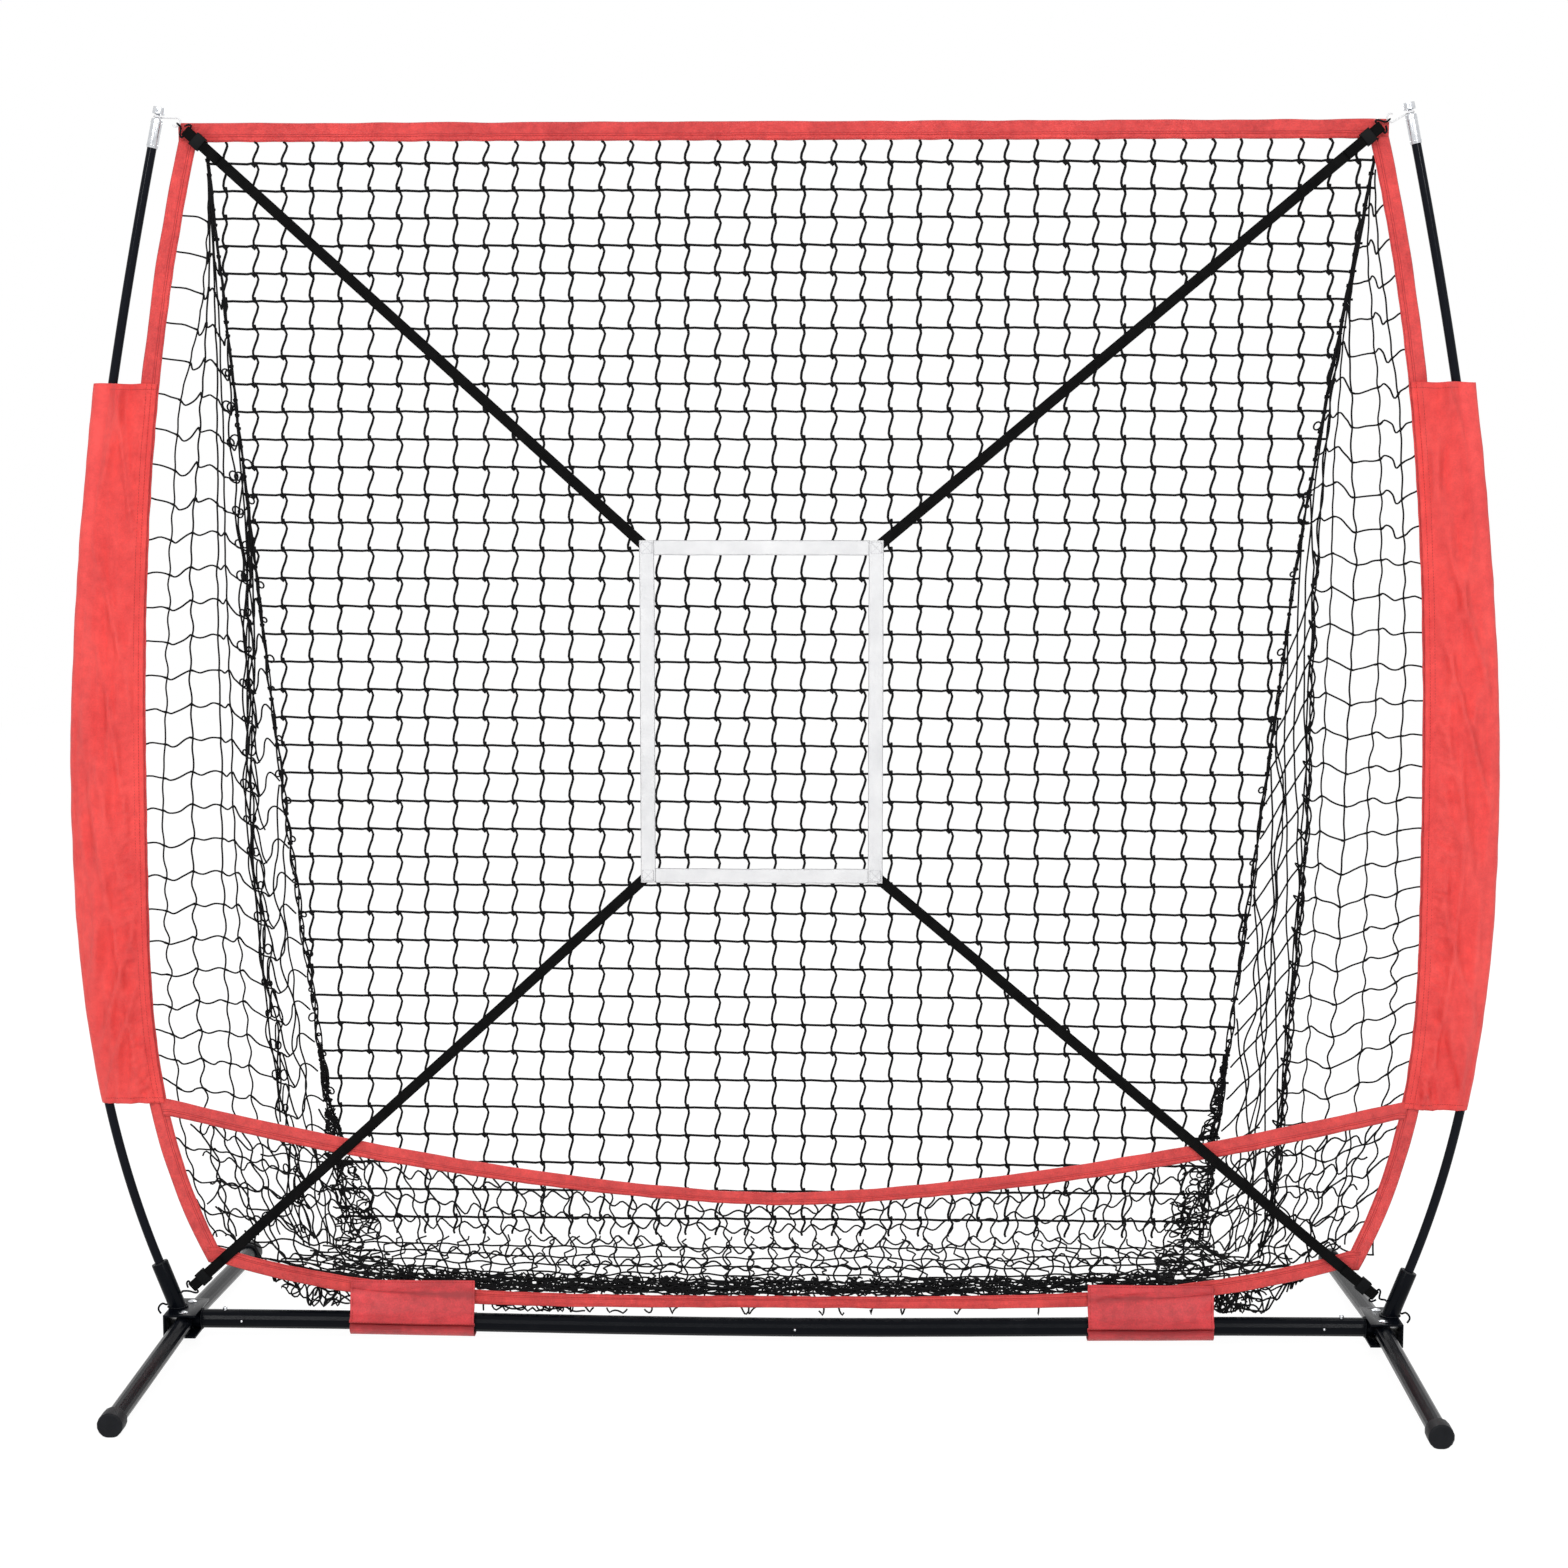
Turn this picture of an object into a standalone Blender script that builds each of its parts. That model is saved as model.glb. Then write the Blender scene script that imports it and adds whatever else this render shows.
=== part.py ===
"""Pitching target net: a bow-framed practice net with a ball-catching bag and a hung strike zone.

Axes: X runs along the crossbar, Y runs from the mouth (front, -Y) to the back net, Z is up.
The origin is on the ground, midway between the two hubs. All sizes are in metres.
"""
import math

import bmesh
import bpy
from mathutils import Matrix, Vector

# ------------------------------------------------------------------ general
CLEAR = 0.0003  # gap kept between pieces that touch
TUBE_SIDES = 16
HEM_TOP_Z = 1.8312  # height of the mouth; the poles, corners and back net follow it

# ------------------------------------------------------------------ base: hubs, legs, crossbar
HUB_X = 0.908  # half the distance between the two hubs; the mouth and the bag follow it
HUB_Z = 0.034  # height of the tube axes at a hub
PLATE = 0.003  # wall of the hub channel
LEG_SWING_ROOM = 0.0009  # sloping legs need this much more height in the channel
CHANNEL_HALF_LENGTH = 0.047  # hub channel, half its length along Y
CHANNEL_INNER = 0.022  # channel lips stand this far inboard of the hub axis
CHANNEL_OUTER = 0.027  # channel back stands this far outboard of it

LEG_RADIUS = 0.0135
LEG_WALL = 0.0015
LEG_PIVOT_Y = 0.030  # leg pivots, from the crossbar axis
FOOT_Y = 0.452  # outer face of a leg cap
CAP_RADIUS = 0.018
CAP_LENGTH = 0.030
CAP_END = 0.005  # thickness of a cap's closed end
CAP_FLAT = 0.001  # depth of the flat each cap stands on
PIN_RADIUS = 0.004
PIN_HOLE_GAP = 0.0003
PIN_HEAD_RADIUS = 0.007
PIN_HEAD = 0.0022

BAR_RADIUS = 0.01425  # crossbar tube, outside
BAR_WALL = 0.0013
SWAGE_GAP = 0.00035  # slip fit of a reduced tube end in the next tube
SWAGE_LENGTH = 0.058
STUB_START = 0.008  # stub's outer end, inboard of the hub axis
STUB_LENGTH = 0.081
BAR_SAG = 0.007  # the joined crossbar hangs this much lower in the middle
BAR_JOINT_X = 0.0187  # where the two crossbar tubes meet
BAR_STEPS = 6  # straight lengths that draw a tube's sag

BUTTON_INSET = 0.0315  # snap button axis, from the mouth of the stub
BUTTON_RADIUS = 0.0035
BUTTON_STAND = 0.005  # button stands this far out of the stub
BUTTON_HOLE_GAP = 0.0004
BUTTON_FLANGE = 0.005  # radius of the button's foot
BUTTON_FLANGE_HEIGHT = 0.002
BUTTON_FLANGE_TOP = 0.0098  # top of the foot above the tube axis
SPRING_LENGTH = 0.045
SPRING_WIDTH = 0.007
SPRING_SHEET = 0.0006
SPRING_LOW = 0.0102  # lower leaf, below the tube axis
SPRING_BEND = -0.0012  # height of the fold between the leaves
SPRING_LOW_END = -0.003  # height that the lower leaf climbs towards at the fold

# ------------------------------------------------------------------ bow poles and their sockets
POLE_RADIUS = 0.007
SOCKET_TOP_Z = 0.119
SOCKET_TOP_OUT = 0.0413  # socket mouth, outboard of the hub axis
SOCKET_RADIUS = 0.013
SOCKET_WALL = 0.0017
BUSH_LIP = 0.002
BUSH_FLOOR = 0.003
BUSH_LENGTH = 0.052
POLE_WIDEST_X = HUB_X + 0.1505
POLE_WIDEST_Z = 0.85
POLE_LOW_POWER = 2.6  # how sharply the pole bends below its widest point
POLE_TOP_X = HUB_X + 0.016
POLE_TOP_Z = HEM_TOP_Z - 0.0357
POLE_HIGH_POWER = 1.5
TIP_LENGTH = 0.043  # metal sleeve at the top of a pole
TIP_WALL = 0.001
TIP_BORE = 0.035
TIP_NECK_RADIUS = 0.003
TIP_NECK_LENGTH = 0.006
TIP_CROWN_RADIUS = 0.0088
TIP_CROWN_LENGTH = 0.011
TIP_SLOT = 0.004
TIP_SLOT_DEPTH = 0.008

# ------------------------------------------------------------------ hems (folded tape round the mouth)
HEM_SHEET = 0.0024
HEM_WIDTH = 0.025
SIDE_WIDEST_X = HUB_X + 0.0485  # inner edge of a side hem where the mouth is widest
SIDE_WIDEST_Z = 0.68
SIDE_TOP_DRAW = 0.0975  # inner edge draws in this much up to the top corner
SIDE_TOP_POWER = 2.8
HEM_TOP_X = SIDE_WIDEST_X - SIDE_TOP_DRAW + HEM_WIDTH  # outer top corner
SIDE_LOW_Z = 0.147
SIDE_LOW_DRAW = 0.0945
SIDE_LOW_POWER = 2.73
BOTTOM_MID_Z = 0.0755  # upper edge of the bottom hem in the middle
BOTTOM_HEM_WIDTH = 0.018
BOTTOM_POWER = 3.8
POCKET_MID_Z = 0.236
POCKET_END_Z = 0.3765
POCKET_HEM_WIDTH = 0.018
POCKET_POWER = 1.6
HEM_STEPS = 20
HEM_END_GAP = 0.0012  # cross hems stop this much short of a side hem's bend

# ------------------------------------------------------------------ side sleeves and crossbar flaps
SLEEVE_SHEET = 0.0012
SLEEVE_LOW_Z = 0.3704
SLEEVE_HIGH_Z = 1.4525
SLEEVE_POLE_GAP = 0.0015
SLEEVE_SEAM = 0.0019  # half thickness along the seam
SLEEVE_SLACK = 0.019  # spare cloth outside the pole at the top of a sleeve
FLAP_NEAR_X = HUB_X - 0.442
FLAP_WIDTH = 0.190
FLAP_SHEET = 0.0015
FLAP_TOP_Z = 0.097
FLAP_BAR_GAP = 0.0022
FLAP_DROP = 0.0063  # how far the flap hangs below the crossbar
FLAP_REAR_RISE = 0.010  # the loose end turns up this far behind the crossbar

# ------------------------------------------------------------------ net bag
NET_SHEET = 0.0024
NET_STRAND = 0.004
BACK_TOP_X = HUB_X - 0.052
BACK_LOW_X = HUB_X - 0.193
BACK_LOW_Y = 0.400
BACK_LOW_Z = 0.060
BACK_COLUMN_COUNT = 12
BACK_ROW_COUNT = 13
SIDE_NET_TOP_Z = HEM_TOP_Z - 0.0912
SIDE_NET_LIFT = 0.006  # rear lower corner of a side net, above the foot of the back net
SIDE_COLUMN_COUNT = 3
SIDE_ROW_COUNT = 12
FLOOR_ROW_COUNT = 3
POCKET_ROW_COUNT = 2
LOWER_COLUMN_COUNT = 12

# ------------------------------------------------------------------ strike zone, straps, hooks
ZONE_X = -0.028  # the zone hangs slightly left of the middle
ZONE_Z = 0.966
ZONE_WIDTH = 0.362
ZONE_HEIGHT = 0.511
ZONE_BAND = 0.022
ZONE_SHEET = 0.0016
STRAP_WIDTH = 0.016
STRAP_SHEET = 0.0014
STRAP_PLANE = -0.0083  # Y of the strap loops, in front of the hems
STRAP_LOOP = 0.0026  # middle radius of the strap's end loop
STRAP_TAIL = 0.062  # length folded back behind the adjuster
ADJUSTER_LENGTH = 0.016
ADJUSTER_WIDTH = 0.022
ADJUSTER_WALL = 0.0015
ADJUSTER_AT = 0.022  # adjuster's middle, back from the strap's end loop
ADJUSTER_GAP = 0.0003
HOOK_RADIUS = 0.00125
HOOK_EYE_WIDTH = 0.0215
HOOK_EYE_LENGTH = 0.010
HOOK_FREE_TAIL = (0.75, -0.0036)  # free end of a hook's eye: share of its length, and distance across
HOOK_SHOULDER = (0.42, 0.92)  # eye's side: share of its length, and share of its half width
HOOK_SHANK_OFF = 0.0012  # shank of a hook, off the strap's middle line
CORNER_X = HEM_TOP_X + 0.002  # middle of the cord eye at a top corner
CORNER_Z = HEM_TOP_Z + 0.0008
CORD_RADIUS = 0.0013
CORD_EYE = 0.0065
LOW_EYE_X = HUB_X - 0.011  # bar of a lower hook
LOW_EYE_Z = 0.0865
HOOK_WRAP_HIGH = 0.070  # heights at which a lower hook passes round its pole socket
HOOK_WRAP_LOW = 0.0600
HOOK_WRAP_GAP = 0.0012  # room between a lower hook and the socket that it passes round
HOOK_CURL = ((0.0035, -0.0010, 0.0570), (0.0085, -0.0022, 0.0530), (0.0096, -0.0022, 0.0475),
             (0.0060, -0.0022, 0.0415))  # open end of a lower hook: distance outboard of the hub, y, z
HOOK_CURL_OUT = 0.008  # where that end starts, outboard of the channel

for old in list(bpy.data.objects):
    bpy.data.objects.remove(old, do_unlink=True)


# ------------------------------------------------------------------ shared helpers
def material(name, colour, roughness, metallic=0.0):
    """A Principled material with one colour."""
    mat = bpy.data.materials.get(name)
    if mat:
        return mat
    mat = bpy.data.materials.new(name)
    mat.use_nodes = True
    shader = mat.node_tree.nodes["Principled BSDF"]
    shader.inputs["Base Color"].default_value = (*colour, 1.0)
    shader.inputs["Roughness"].default_value = roughness
    shader.inputs["Metallic"].default_value = metallic
    return mat


def black_paint():
    return material("black_paint", (0.015, 0.017, 0.02), 0.35, 0.4)


def black_plastic():
    return material("black_plastic", (0.02, 0.022, 0.025), 0.5)


def bright_steel():
    return material("bright_steel", (0.75, 0.76, 0.78), 0.22, 1.0)


def fibreglass():
    return material("fibreglass", (0.012, 0.013, 0.018), 0.2)


def red_polyester():
    return material("red_polyester", (0.83, 0.075, 0.07), 0.6)


def black_twine():
    return material("black_twine", (0.012, 0.012, 0.014), 0.8)


def black_webbing():
    return material("black_webbing", (0.016, 0.016, 0.017), 0.85)


def white_webbing():
    return material("white_webbing", (0.86, 0.86, 0.87), 0.8)


def add_object(name, bm, mat, origin=(0.0, 0.0, 0.0), parent=None, turn_y=0.0, local=False):
    """Turn a bmesh into an object whose origin stands at the given point."""
    origin = Vector(origin)
    if not local:
        bmesh.ops.translate(bm, verts=bm.verts, vec=-origin)
    bmesh.ops.recalc_face_normals(bm, faces=bm.faces)
    if bm.calc_volume(signed=True) < 0:
        bmesh.ops.reverse_faces(bm, faces=bm.faces)
    mesh = bpy.data.meshes.new(name)
    bm.to_mesh(mesh)
    bm.free()
    mesh.shade_smooth()
    mesh.set_sharp_from_angle(angle=math.radians(35))
    mesh.materials.append(mat)
    obj = bpy.data.objects.new(name, mesh)
    bpy.context.scene.collection.objects.link(obj)
    if parent:
        obj.parent = parent
        origin = origin - parent.location
    obj.location = origin
    obj.rotation_euler = (0.0, turn_y, 0.0)
    return obj


def loft(bm, rings, closed=False):
    """Skin a list of equal rings; a closed loft joins the last ring to the first, an open one is capped."""
    rows = [[bm.verts.new(point) for point in ring] for ring in rings]
    count = len(rows[0])
    pairs = list(zip(rows, rows[1:]))
    if closed:
        pairs.append((rows[-1], rows[0]))
    for low, high in pairs:
        for i in range(count):
            j = (i + 1) % count
            bm.faces.new((low[i], low[j], high[j], high[i]))
    if not closed:
        bm.faces.new(list(reversed(rows[0])))
        bm.faces.new(rows[-1])


def circle(centre, along, side, radius, count):
    """Points of a circle round an axis; side is square to along."""
    along = Vector(along).normalized()
    side = Vector(side).normalized()
    up = along.cross(side)
    points = []
    for i in range(count):
        angle = 2 * math.pi * (i + 0.5) / count
        points.append(Vector(centre) + radius * (math.cos(angle) * side + math.sin(angle) * up))
    return points


def pipe(bm, outer, inner, side, count=16):
    """A hollow tube. outer and inner are stations (point, direction, radius) in the same order."""
    rings = [circle(p, d, side, r, count) for p, d, r in outer]
    rings += [circle(p, d, side, r, count) for p, d, r in reversed(inner)]
    loft(bm, rings, closed=True)


def turned(bm, base, axis, side, profile, count=16):
    """A solid of revolution from (distance along the axis, radius) pairs."""
    base = Vector(base)
    axis = Vector(axis).normalized()
    loft(bm, [circle(base + axis * s, axis, side, r, count) for s, r in profile])


def smooth_path(points, steps):
    """Catmull-Rom points through the given ones."""
    points = [Vector(p) for p in points]
    padded = [2 * points[0] - points[1]] + points + [2 * points[-1] - points[-2]]
    path = []
    for a, b, c, d in zip(padded, padded[1:], padded[2:], padded[3:]):
        for k in range(steps):
            t = k / steps
            path.append(0.5 * (2 * b + (c - a) * t + (2 * a - 5 * b + 4 * c - d) * t * t
                               + (3 * b - a - 3 * c + d) * t ** 3))
    path.append(points[-1])
    return path


def wire(bm, path, radius, count=6):
    """A solid round wire along a path in space, its section carried along without twist."""
    tangents = []
    for i in range(len(path)):
        tangents.append((path[min(i + 1, len(path) - 1)] - path[max(i - 1, 0)]).normalized())
    side = tangents[0].orthogonal().normalized()
    rings = []
    for point, tangent in zip(path, tangents):
        side = (side - tangent * side.dot(tangent)).normalized()
        rings.append(circle(point, tangent, side, radius, count))
    loft(bm, rings)


def ribbon(bm, path, across, width, sheet):
    """A flat strip along a path; across is the strip's width direction."""
    across = Vector(across).normalized()
    rings = []
    for i, point in enumerate(path):
        along = (path[min(i + 1, len(path) - 1)] - path[max(i - 1, 0)]).normalized()
        face = along.cross(across).normalized() * (sheet / 2)
        edge = across * (width / 2)
        rings.append([point - edge - face, point + edge - face, point + edge + face, point - edge + face])
    loft(bm, rings)


def block(bm, low, high):
    """An axis-aligned box between two corners."""
    size = Vector(high) - Vector(low)
    centre = (Vector(high) + Vector(low)) / 2
    bmesh.ops.create_cube(bm, size=1.0, matrix=Matrix.Translation(centre) @ Matrix.Diagonal((*size, 1.0)))


def cut(obj, cutter_mesh, name, matrix=None):
    """Boolean difference on obj with a hidden cutter given in world space."""
    mesh = bpy.data.meshes.new(name)
    bmesh.ops.recalc_face_normals(cutter_mesh, faces=cutter_mesh.faces)
    cutter_mesh.to_mesh(mesh)
    cutter_mesh.free()
    cutter = bpy.data.objects.new(name, mesh)
    bpy.context.scene.collection.objects.link(cutter)
    if matrix:
        cutter.matrix_world = matrix
    cutter.hide_render = True
    cutter.display_type = "WIRE"
    modifier = obj.modifiers.new(name, "BOOLEAN")
    modifier.operation = "DIFFERENCE"
    modifier.solver = "EXACT"
    modifier.object = cutter


def round_hole(obj, x, y, low, high, radius, name, count=12):
    """A vertical round hole."""
    bm = bmesh.new()
    turned(bm, (x, y, low), (0, 0, 1), (1, 0, 0), [(0.0, radius), (high - low, radius)], count)
    cut(obj, bm, name)


def blend(a, b, t):
    return a + (b - a) * t


# ------------------------------------------------------------------ curves that several pieces follow
def bar_z(x):
    """Height of the crossbar's axis."""
    reach = HUB_X - STUB_START - STUB_LENGTH
    if abs(x) >= reach:
        return HUB_Z
    return HUB_Z - BAR_SAG / 2 * (1 + math.cos(math.pi * x / reach))


def bar_point(x):
    return Vector((x, 0.0, bar_z(x)))


def bar_direction(x):
    return (bar_point(x + 0.001) - bar_point(x - 0.001)).normalized()


def socket_top_x():
    return HUB_X + SOCKET_TOP_OUT


def pole_x(z):
    """Bow of a pole: pole-axis X at a height, for the right-hand pole."""
    if z < SOCKET_TOP_Z:
        return socket_top_x() + socket_lean() * (z - SOCKET_TOP_Z)
    if z < POLE_WIDEST_Z:
        share = (POLE_WIDEST_Z - z) / (POLE_WIDEST_Z - SOCKET_TOP_Z)
        return POLE_WIDEST_X - (POLE_WIDEST_X - socket_top_x()) * share ** POLE_LOW_POWER
    if z < POLE_TOP_Z:
        share = (z - POLE_WIDEST_Z) / (POLE_TOP_Z - POLE_WIDEST_Z)
        return POLE_WIDEST_X - (POLE_WIDEST_X - POLE_TOP_X) * share ** POLE_HIGH_POWER
    return POLE_TOP_X + tip_lean() * (z - POLE_TOP_Z)


def socket_lean():
    """Slope dx/dz of the pole where it leaves its socket; the socket leans alike."""
    return (POLE_WIDEST_X - socket_top_x()) * POLE_LOW_POWER / (POLE_WIDEST_Z - SOCKET_TOP_Z)


def tip_lean():
    """Slope dx/dz of the pole at its top."""
    return -(POLE_WIDEST_X - POLE_TOP_X) * POLE_HIGH_POWER / (POLE_TOP_Z - POLE_WIDEST_Z)


def side_edge(z):
    """Inner edge of the right-hand side hem."""
    if z < SIDE_WIDEST_Z:
        share = (SIDE_WIDEST_Z - z) / (SIDE_WIDEST_Z - SIDE_LOW_Z)
        return SIDE_WIDEST_X - SIDE_LOW_DRAW * share ** SIDE_LOW_POWER
    share = (z - SIDE_WIDEST_Z) / (HEM_TOP_Z - HEM_WIDTH - SIDE_WIDEST_Z)
    return SIDE_WIDEST_X - SIDE_TOP_DRAW * share ** SIDE_TOP_POWER


def bottom_end_x():
    """Where the bottom hem ends, at the inner edge of the side hem."""
    return side_edge(SIDE_LOW_Z) - CLEAR - HEM_END_GAP


def bottom_edge(x):
    """Upper edge of the bottom hem."""
    share = min(abs(x) / bottom_end_x(), 1.0)
    return BOTTOM_MID_Z + (SIDE_LOW_Z - BOTTOM_MID_Z) * share ** BOTTOM_POWER


def pocket_end_x():
    return side_edge(POCKET_END_Z) - CLEAR - HEM_END_GAP


def pocket_edge(x):
    """Upper edge of the pocket hem, the lip that keeps caught balls in."""
    share = min(abs(x) / pocket_end_x(), 1.0)
    return POCKET_MID_Z + (POCKET_END_Z - POCKET_MID_Z) * share ** POCKET_POWER


def stub_mouth_x():
    return HUB_X - STUB_START - STUB_LENGTH


def leg_axis():
    """Pivot point and direction of the right front leg, pointing out to its foot."""
    pivot = Vector((HUB_X, -LEG_PIVOT_Y, HUB_Z))
    foot = Vector((HUB_X, -(FOOT_Y - CAP_LENGTH / 2), CAP_RADIUS - CAP_FLAT))
    return pivot, (foot - pivot).normalized()


# ------------------------------------------------------------------ base
def channel_half():
    """Half the height inside the hub channel, which holds the stub and lets the sloping legs swing."""
    return max(BAR_RADIUS, LEG_RADIUS + LEG_SWING_ROOM) + CLEAR


def build_hub(side, name):
    """Pressed steel channel, open inboard, that carries a stub, two legs and a pole socket."""
    back = CHANNEL_OUTER
    half = channel_half()
    bm = bmesh.new()
    outline = [(-CHANNEL_INNER, half), (back - PLATE, half), (back - PLATE, -half), (-CHANNEL_INNER, -half),
               (-CHANNEL_INNER, -half - PLATE), (back, -half - PLATE), (back, half + PLATE),
               (-CHANNEL_INNER, half + PLATE)]
    rings = []
    for y in (-CHANNEL_HALF_LENGTH, CHANNEL_HALF_LENGTH):
        rings.append([Vector((side * (HUB_X + x), y, HUB_Z + z)) for x, z in outline])
    loft(bm, rings)
    hub = add_object("hub_bracket_" + name, bm, black_paint(), (side * HUB_X, 0.0, HUB_Z))
    low = HUB_Z - half - 2 * PLATE
    high = HUB_Z + half + 2 * PLATE
    for y, end in ((-LEG_PIVOT_Y, "front"), (LEG_PIVOT_Y, "rear")):
        round_hole(hub, side * HUB_X, y, low, high, PIN_RADIUS + PIN_HOLE_GAP, "cut_hub_" + name + "_" + end)
    return hub


def build_pin(side, y, name):
    """Riveted pivot pin of a leg, headed above and below the channel."""
    half = channel_half() + PLATE + CLEAR
    bm = bmesh.new()
    low = HUB_Z - half - PIN_HEAD
    upper = PIN_HEAD + 2 * half
    profile = [(0.0, PIN_HEAD_RADIUS * 0.6), (PIN_HEAD * 0.5, PIN_HEAD_RADIUS), (PIN_HEAD, PIN_HEAD_RADIUS),
               (PIN_HEAD, PIN_RADIUS), (upper, PIN_RADIUS), (upper, PIN_HEAD_RADIUS),
               (upper + PIN_HEAD * 0.5, PIN_HEAD_RADIUS), (upper + PIN_HEAD, PIN_HEAD_RADIUS * 0.6)]
    turned(bm, (side * HUB_X, y, low), (0, 0, 1), (1, 0, 0), profile, 12)
    add_object("leg_pin_" + name, bm, bright_steel(), (side * HUB_X, y, HUB_Z))


def build_leg(side, end, name):
    """Leg tube with an end rounded about its pivot, and the plastic cap it stands on.

    end is -1 for a front leg and +1 for a rear leg.
    """
    pivot, along = leg_axis()
    pivot = Vector((side * pivot.x, -end * pivot.y, pivot.z))
    along = Vector((along.x, -end * along.y, along.z))
    tube_end = (FOOT_Y - LEG_PIVOT_Y - CAP_END - CLEAR) / abs(along.y)
    start = -LEG_RADIUS - 0.002
    bm = bmesh.new()
    inner = LEG_RADIUS - LEG_WALL
    pipe(bm, [(pivot + along * start, along, LEG_RADIUS), (pivot + along * tube_end, along, LEG_RADIUS)],
         [(pivot + along * start, along, inner), (pivot + along * tube_end, along, inner)], (1, 0, 0))
    leg = add_object("leg_" + name, bm, black_paint(), pivot)
    round_hole(leg, pivot.x, pivot.y, 0.0, 2 * HUB_Z, PIN_RADIUS + PIN_HOLE_GAP, "cut_leg_pin_" + name)
    round_leg_end(leg, pivot, end, name)
    build_cap(pivot, along, end, leg, name)


def round_leg_end(leg, pivot, end, name):
    """Trim the inboard end of a leg to a half circle about its pivot."""
    reach = LEG_RADIUS + 0.006
    outline = []
    for i in range(9):
        angle = math.pi * i / 8
        outline.append((LEG_RADIUS * math.cos(angle), -end * LEG_RADIUS * math.sin(angle)))
    outline += [(-reach, 0.0), (-reach, -end * reach), (reach, -end * reach), (reach, 0.0)]
    bm = bmesh.new()
    rings = []
    for z in (0.0, 2 * HUB_Z):
        rings.append([Vector((pivot.x + x, pivot.y + y, z)) for x, y in outline])
    loft(bm, rings)
    cut(leg, bm, "cut_leg_end_" + name)


def build_cap(pivot, along, end, leg, name):
    """Cup-shaped end cap, cut flat where it stands on the ground."""
    bore = LEG_RADIUS + CLEAR
    mouth = (FOOT_Y - LEG_PIVOT_Y) / abs(along.y) - CAP_LENGTH
    base = pivot + along * mouth
    rim = 0.002
    outside = [(CAP_LENGTH - CAP_END, bore), (0.0, bore), (0.0, CAP_RADIUS - rim), (rim, CAP_RADIUS),
               (CAP_LENGTH - rim, CAP_RADIUS), (CAP_LENGTH, CAP_RADIUS - rim)]
    bm = bmesh.new()
    turned(bm, base, along, (1, 0, 0), outside, TUBE_SIDES)
    cap = add_object("leg_cap_" + name, bm, black_plastic(), base, leg)
    cutter = bmesh.new()
    block(cutter, (base.x - 0.05, base.y - 0.06, -0.02), (base.x + 0.05, base.y + 0.06, 0.0))
    cut(cap, cutter, "cut_cap_" + name)


def build_stub(side, name):
    """Short tube fixed in the hub channel; the crossbar slips into it."""
    start = side * (HUB_X - STUB_START)
    mouth = side * stub_mouth_x()
    along = Vector((-side, 0.0, 0.0))
    inner = BAR_RADIUS - BAR_WALL
    bm = bmesh.new()
    pipe(bm, [(Vector((start, 0, HUB_Z)), along, BAR_RADIUS), (Vector((mouth, 0, HUB_Z)), along, BAR_RADIUS)],
         [(Vector((start, 0, HUB_Z)), along, inner), (Vector((mouth, 0, HUB_Z)), along, inner)], (0, 1, 0),
         TUBE_SIDES)
    stub = add_object("crossbar_stub_" + name, bm, black_paint(), (start, 0.0, HUB_Z))
    hole_x = side * (stub_mouth_x() + BUTTON_INSET)
    round_hole(stub, hole_x, 0.0, HUB_Z + inner / 2, HUB_Z + 2 * BAR_RADIUS, BUTTON_RADIUS + BUTTON_HOLE_GAP,
               "cut_stub_" + name)


def bar_stations(xs, radius):
    return [(bar_point(x), bar_direction(x), radius) for x in xs]


def build_crossbar(side, name):
    """Half of the crossbar: full tube, reduced at the hub end and, on the left, at the middle."""
    full_in = BAR_RADIUS - BAR_WALL
    thin = full_in - SWAGE_GAP
    thin_in = thin - BAR_WALL
    shoulder = side * (stub_mouth_x() - CLEAR)
    tip = side * (stub_mouth_x() + SWAGE_LENGTH)
    step = -side * 0.0015
    middle = BAR_JOINT_X + (CLEAR if side > 0 else 0.0)
    spread = [blend(shoulder, middle, k / BAR_STEPS) for k in range(BAR_STEPS + 1)]
    outer = bar_stations([tip, shoulder], thin) + bar_stations(spread, BAR_RADIUS)
    inner = bar_stations([tip, shoulder + step], thin_in) + bar_stations([shoulder + step], full_in)
    inner += bar_stations(spread[1:-1], full_in)
    if side < 0:
        inner += bar_stations([middle - 0.0015], full_in) + bar_stations([middle - 0.0015], thin_in)
        end = middle + SWAGE_LENGTH
        outer += bar_stations([middle, end], thin)
        inner += bar_stations([end], thin_in)
    else:
        inner += bar_stations([middle], full_in)
    bm = bmesh.new()
    pipe(bm, outer, inner, (0, 1, 0), TUBE_SIDES)
    bar = add_object("crossbar_tube_" + name, bm, black_paint(), bar_point(shoulder))
    hole_x = side * (stub_mouth_x() + BUTTON_INSET)
    round_hole(bar, hole_x, 0.0, HUB_Z + thin_in / 2, HUB_Z + 2 * BAR_RADIUS, BUTTON_RADIUS + BUTTON_HOLE_GAP,
               "cut_bar_" + name)


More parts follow.
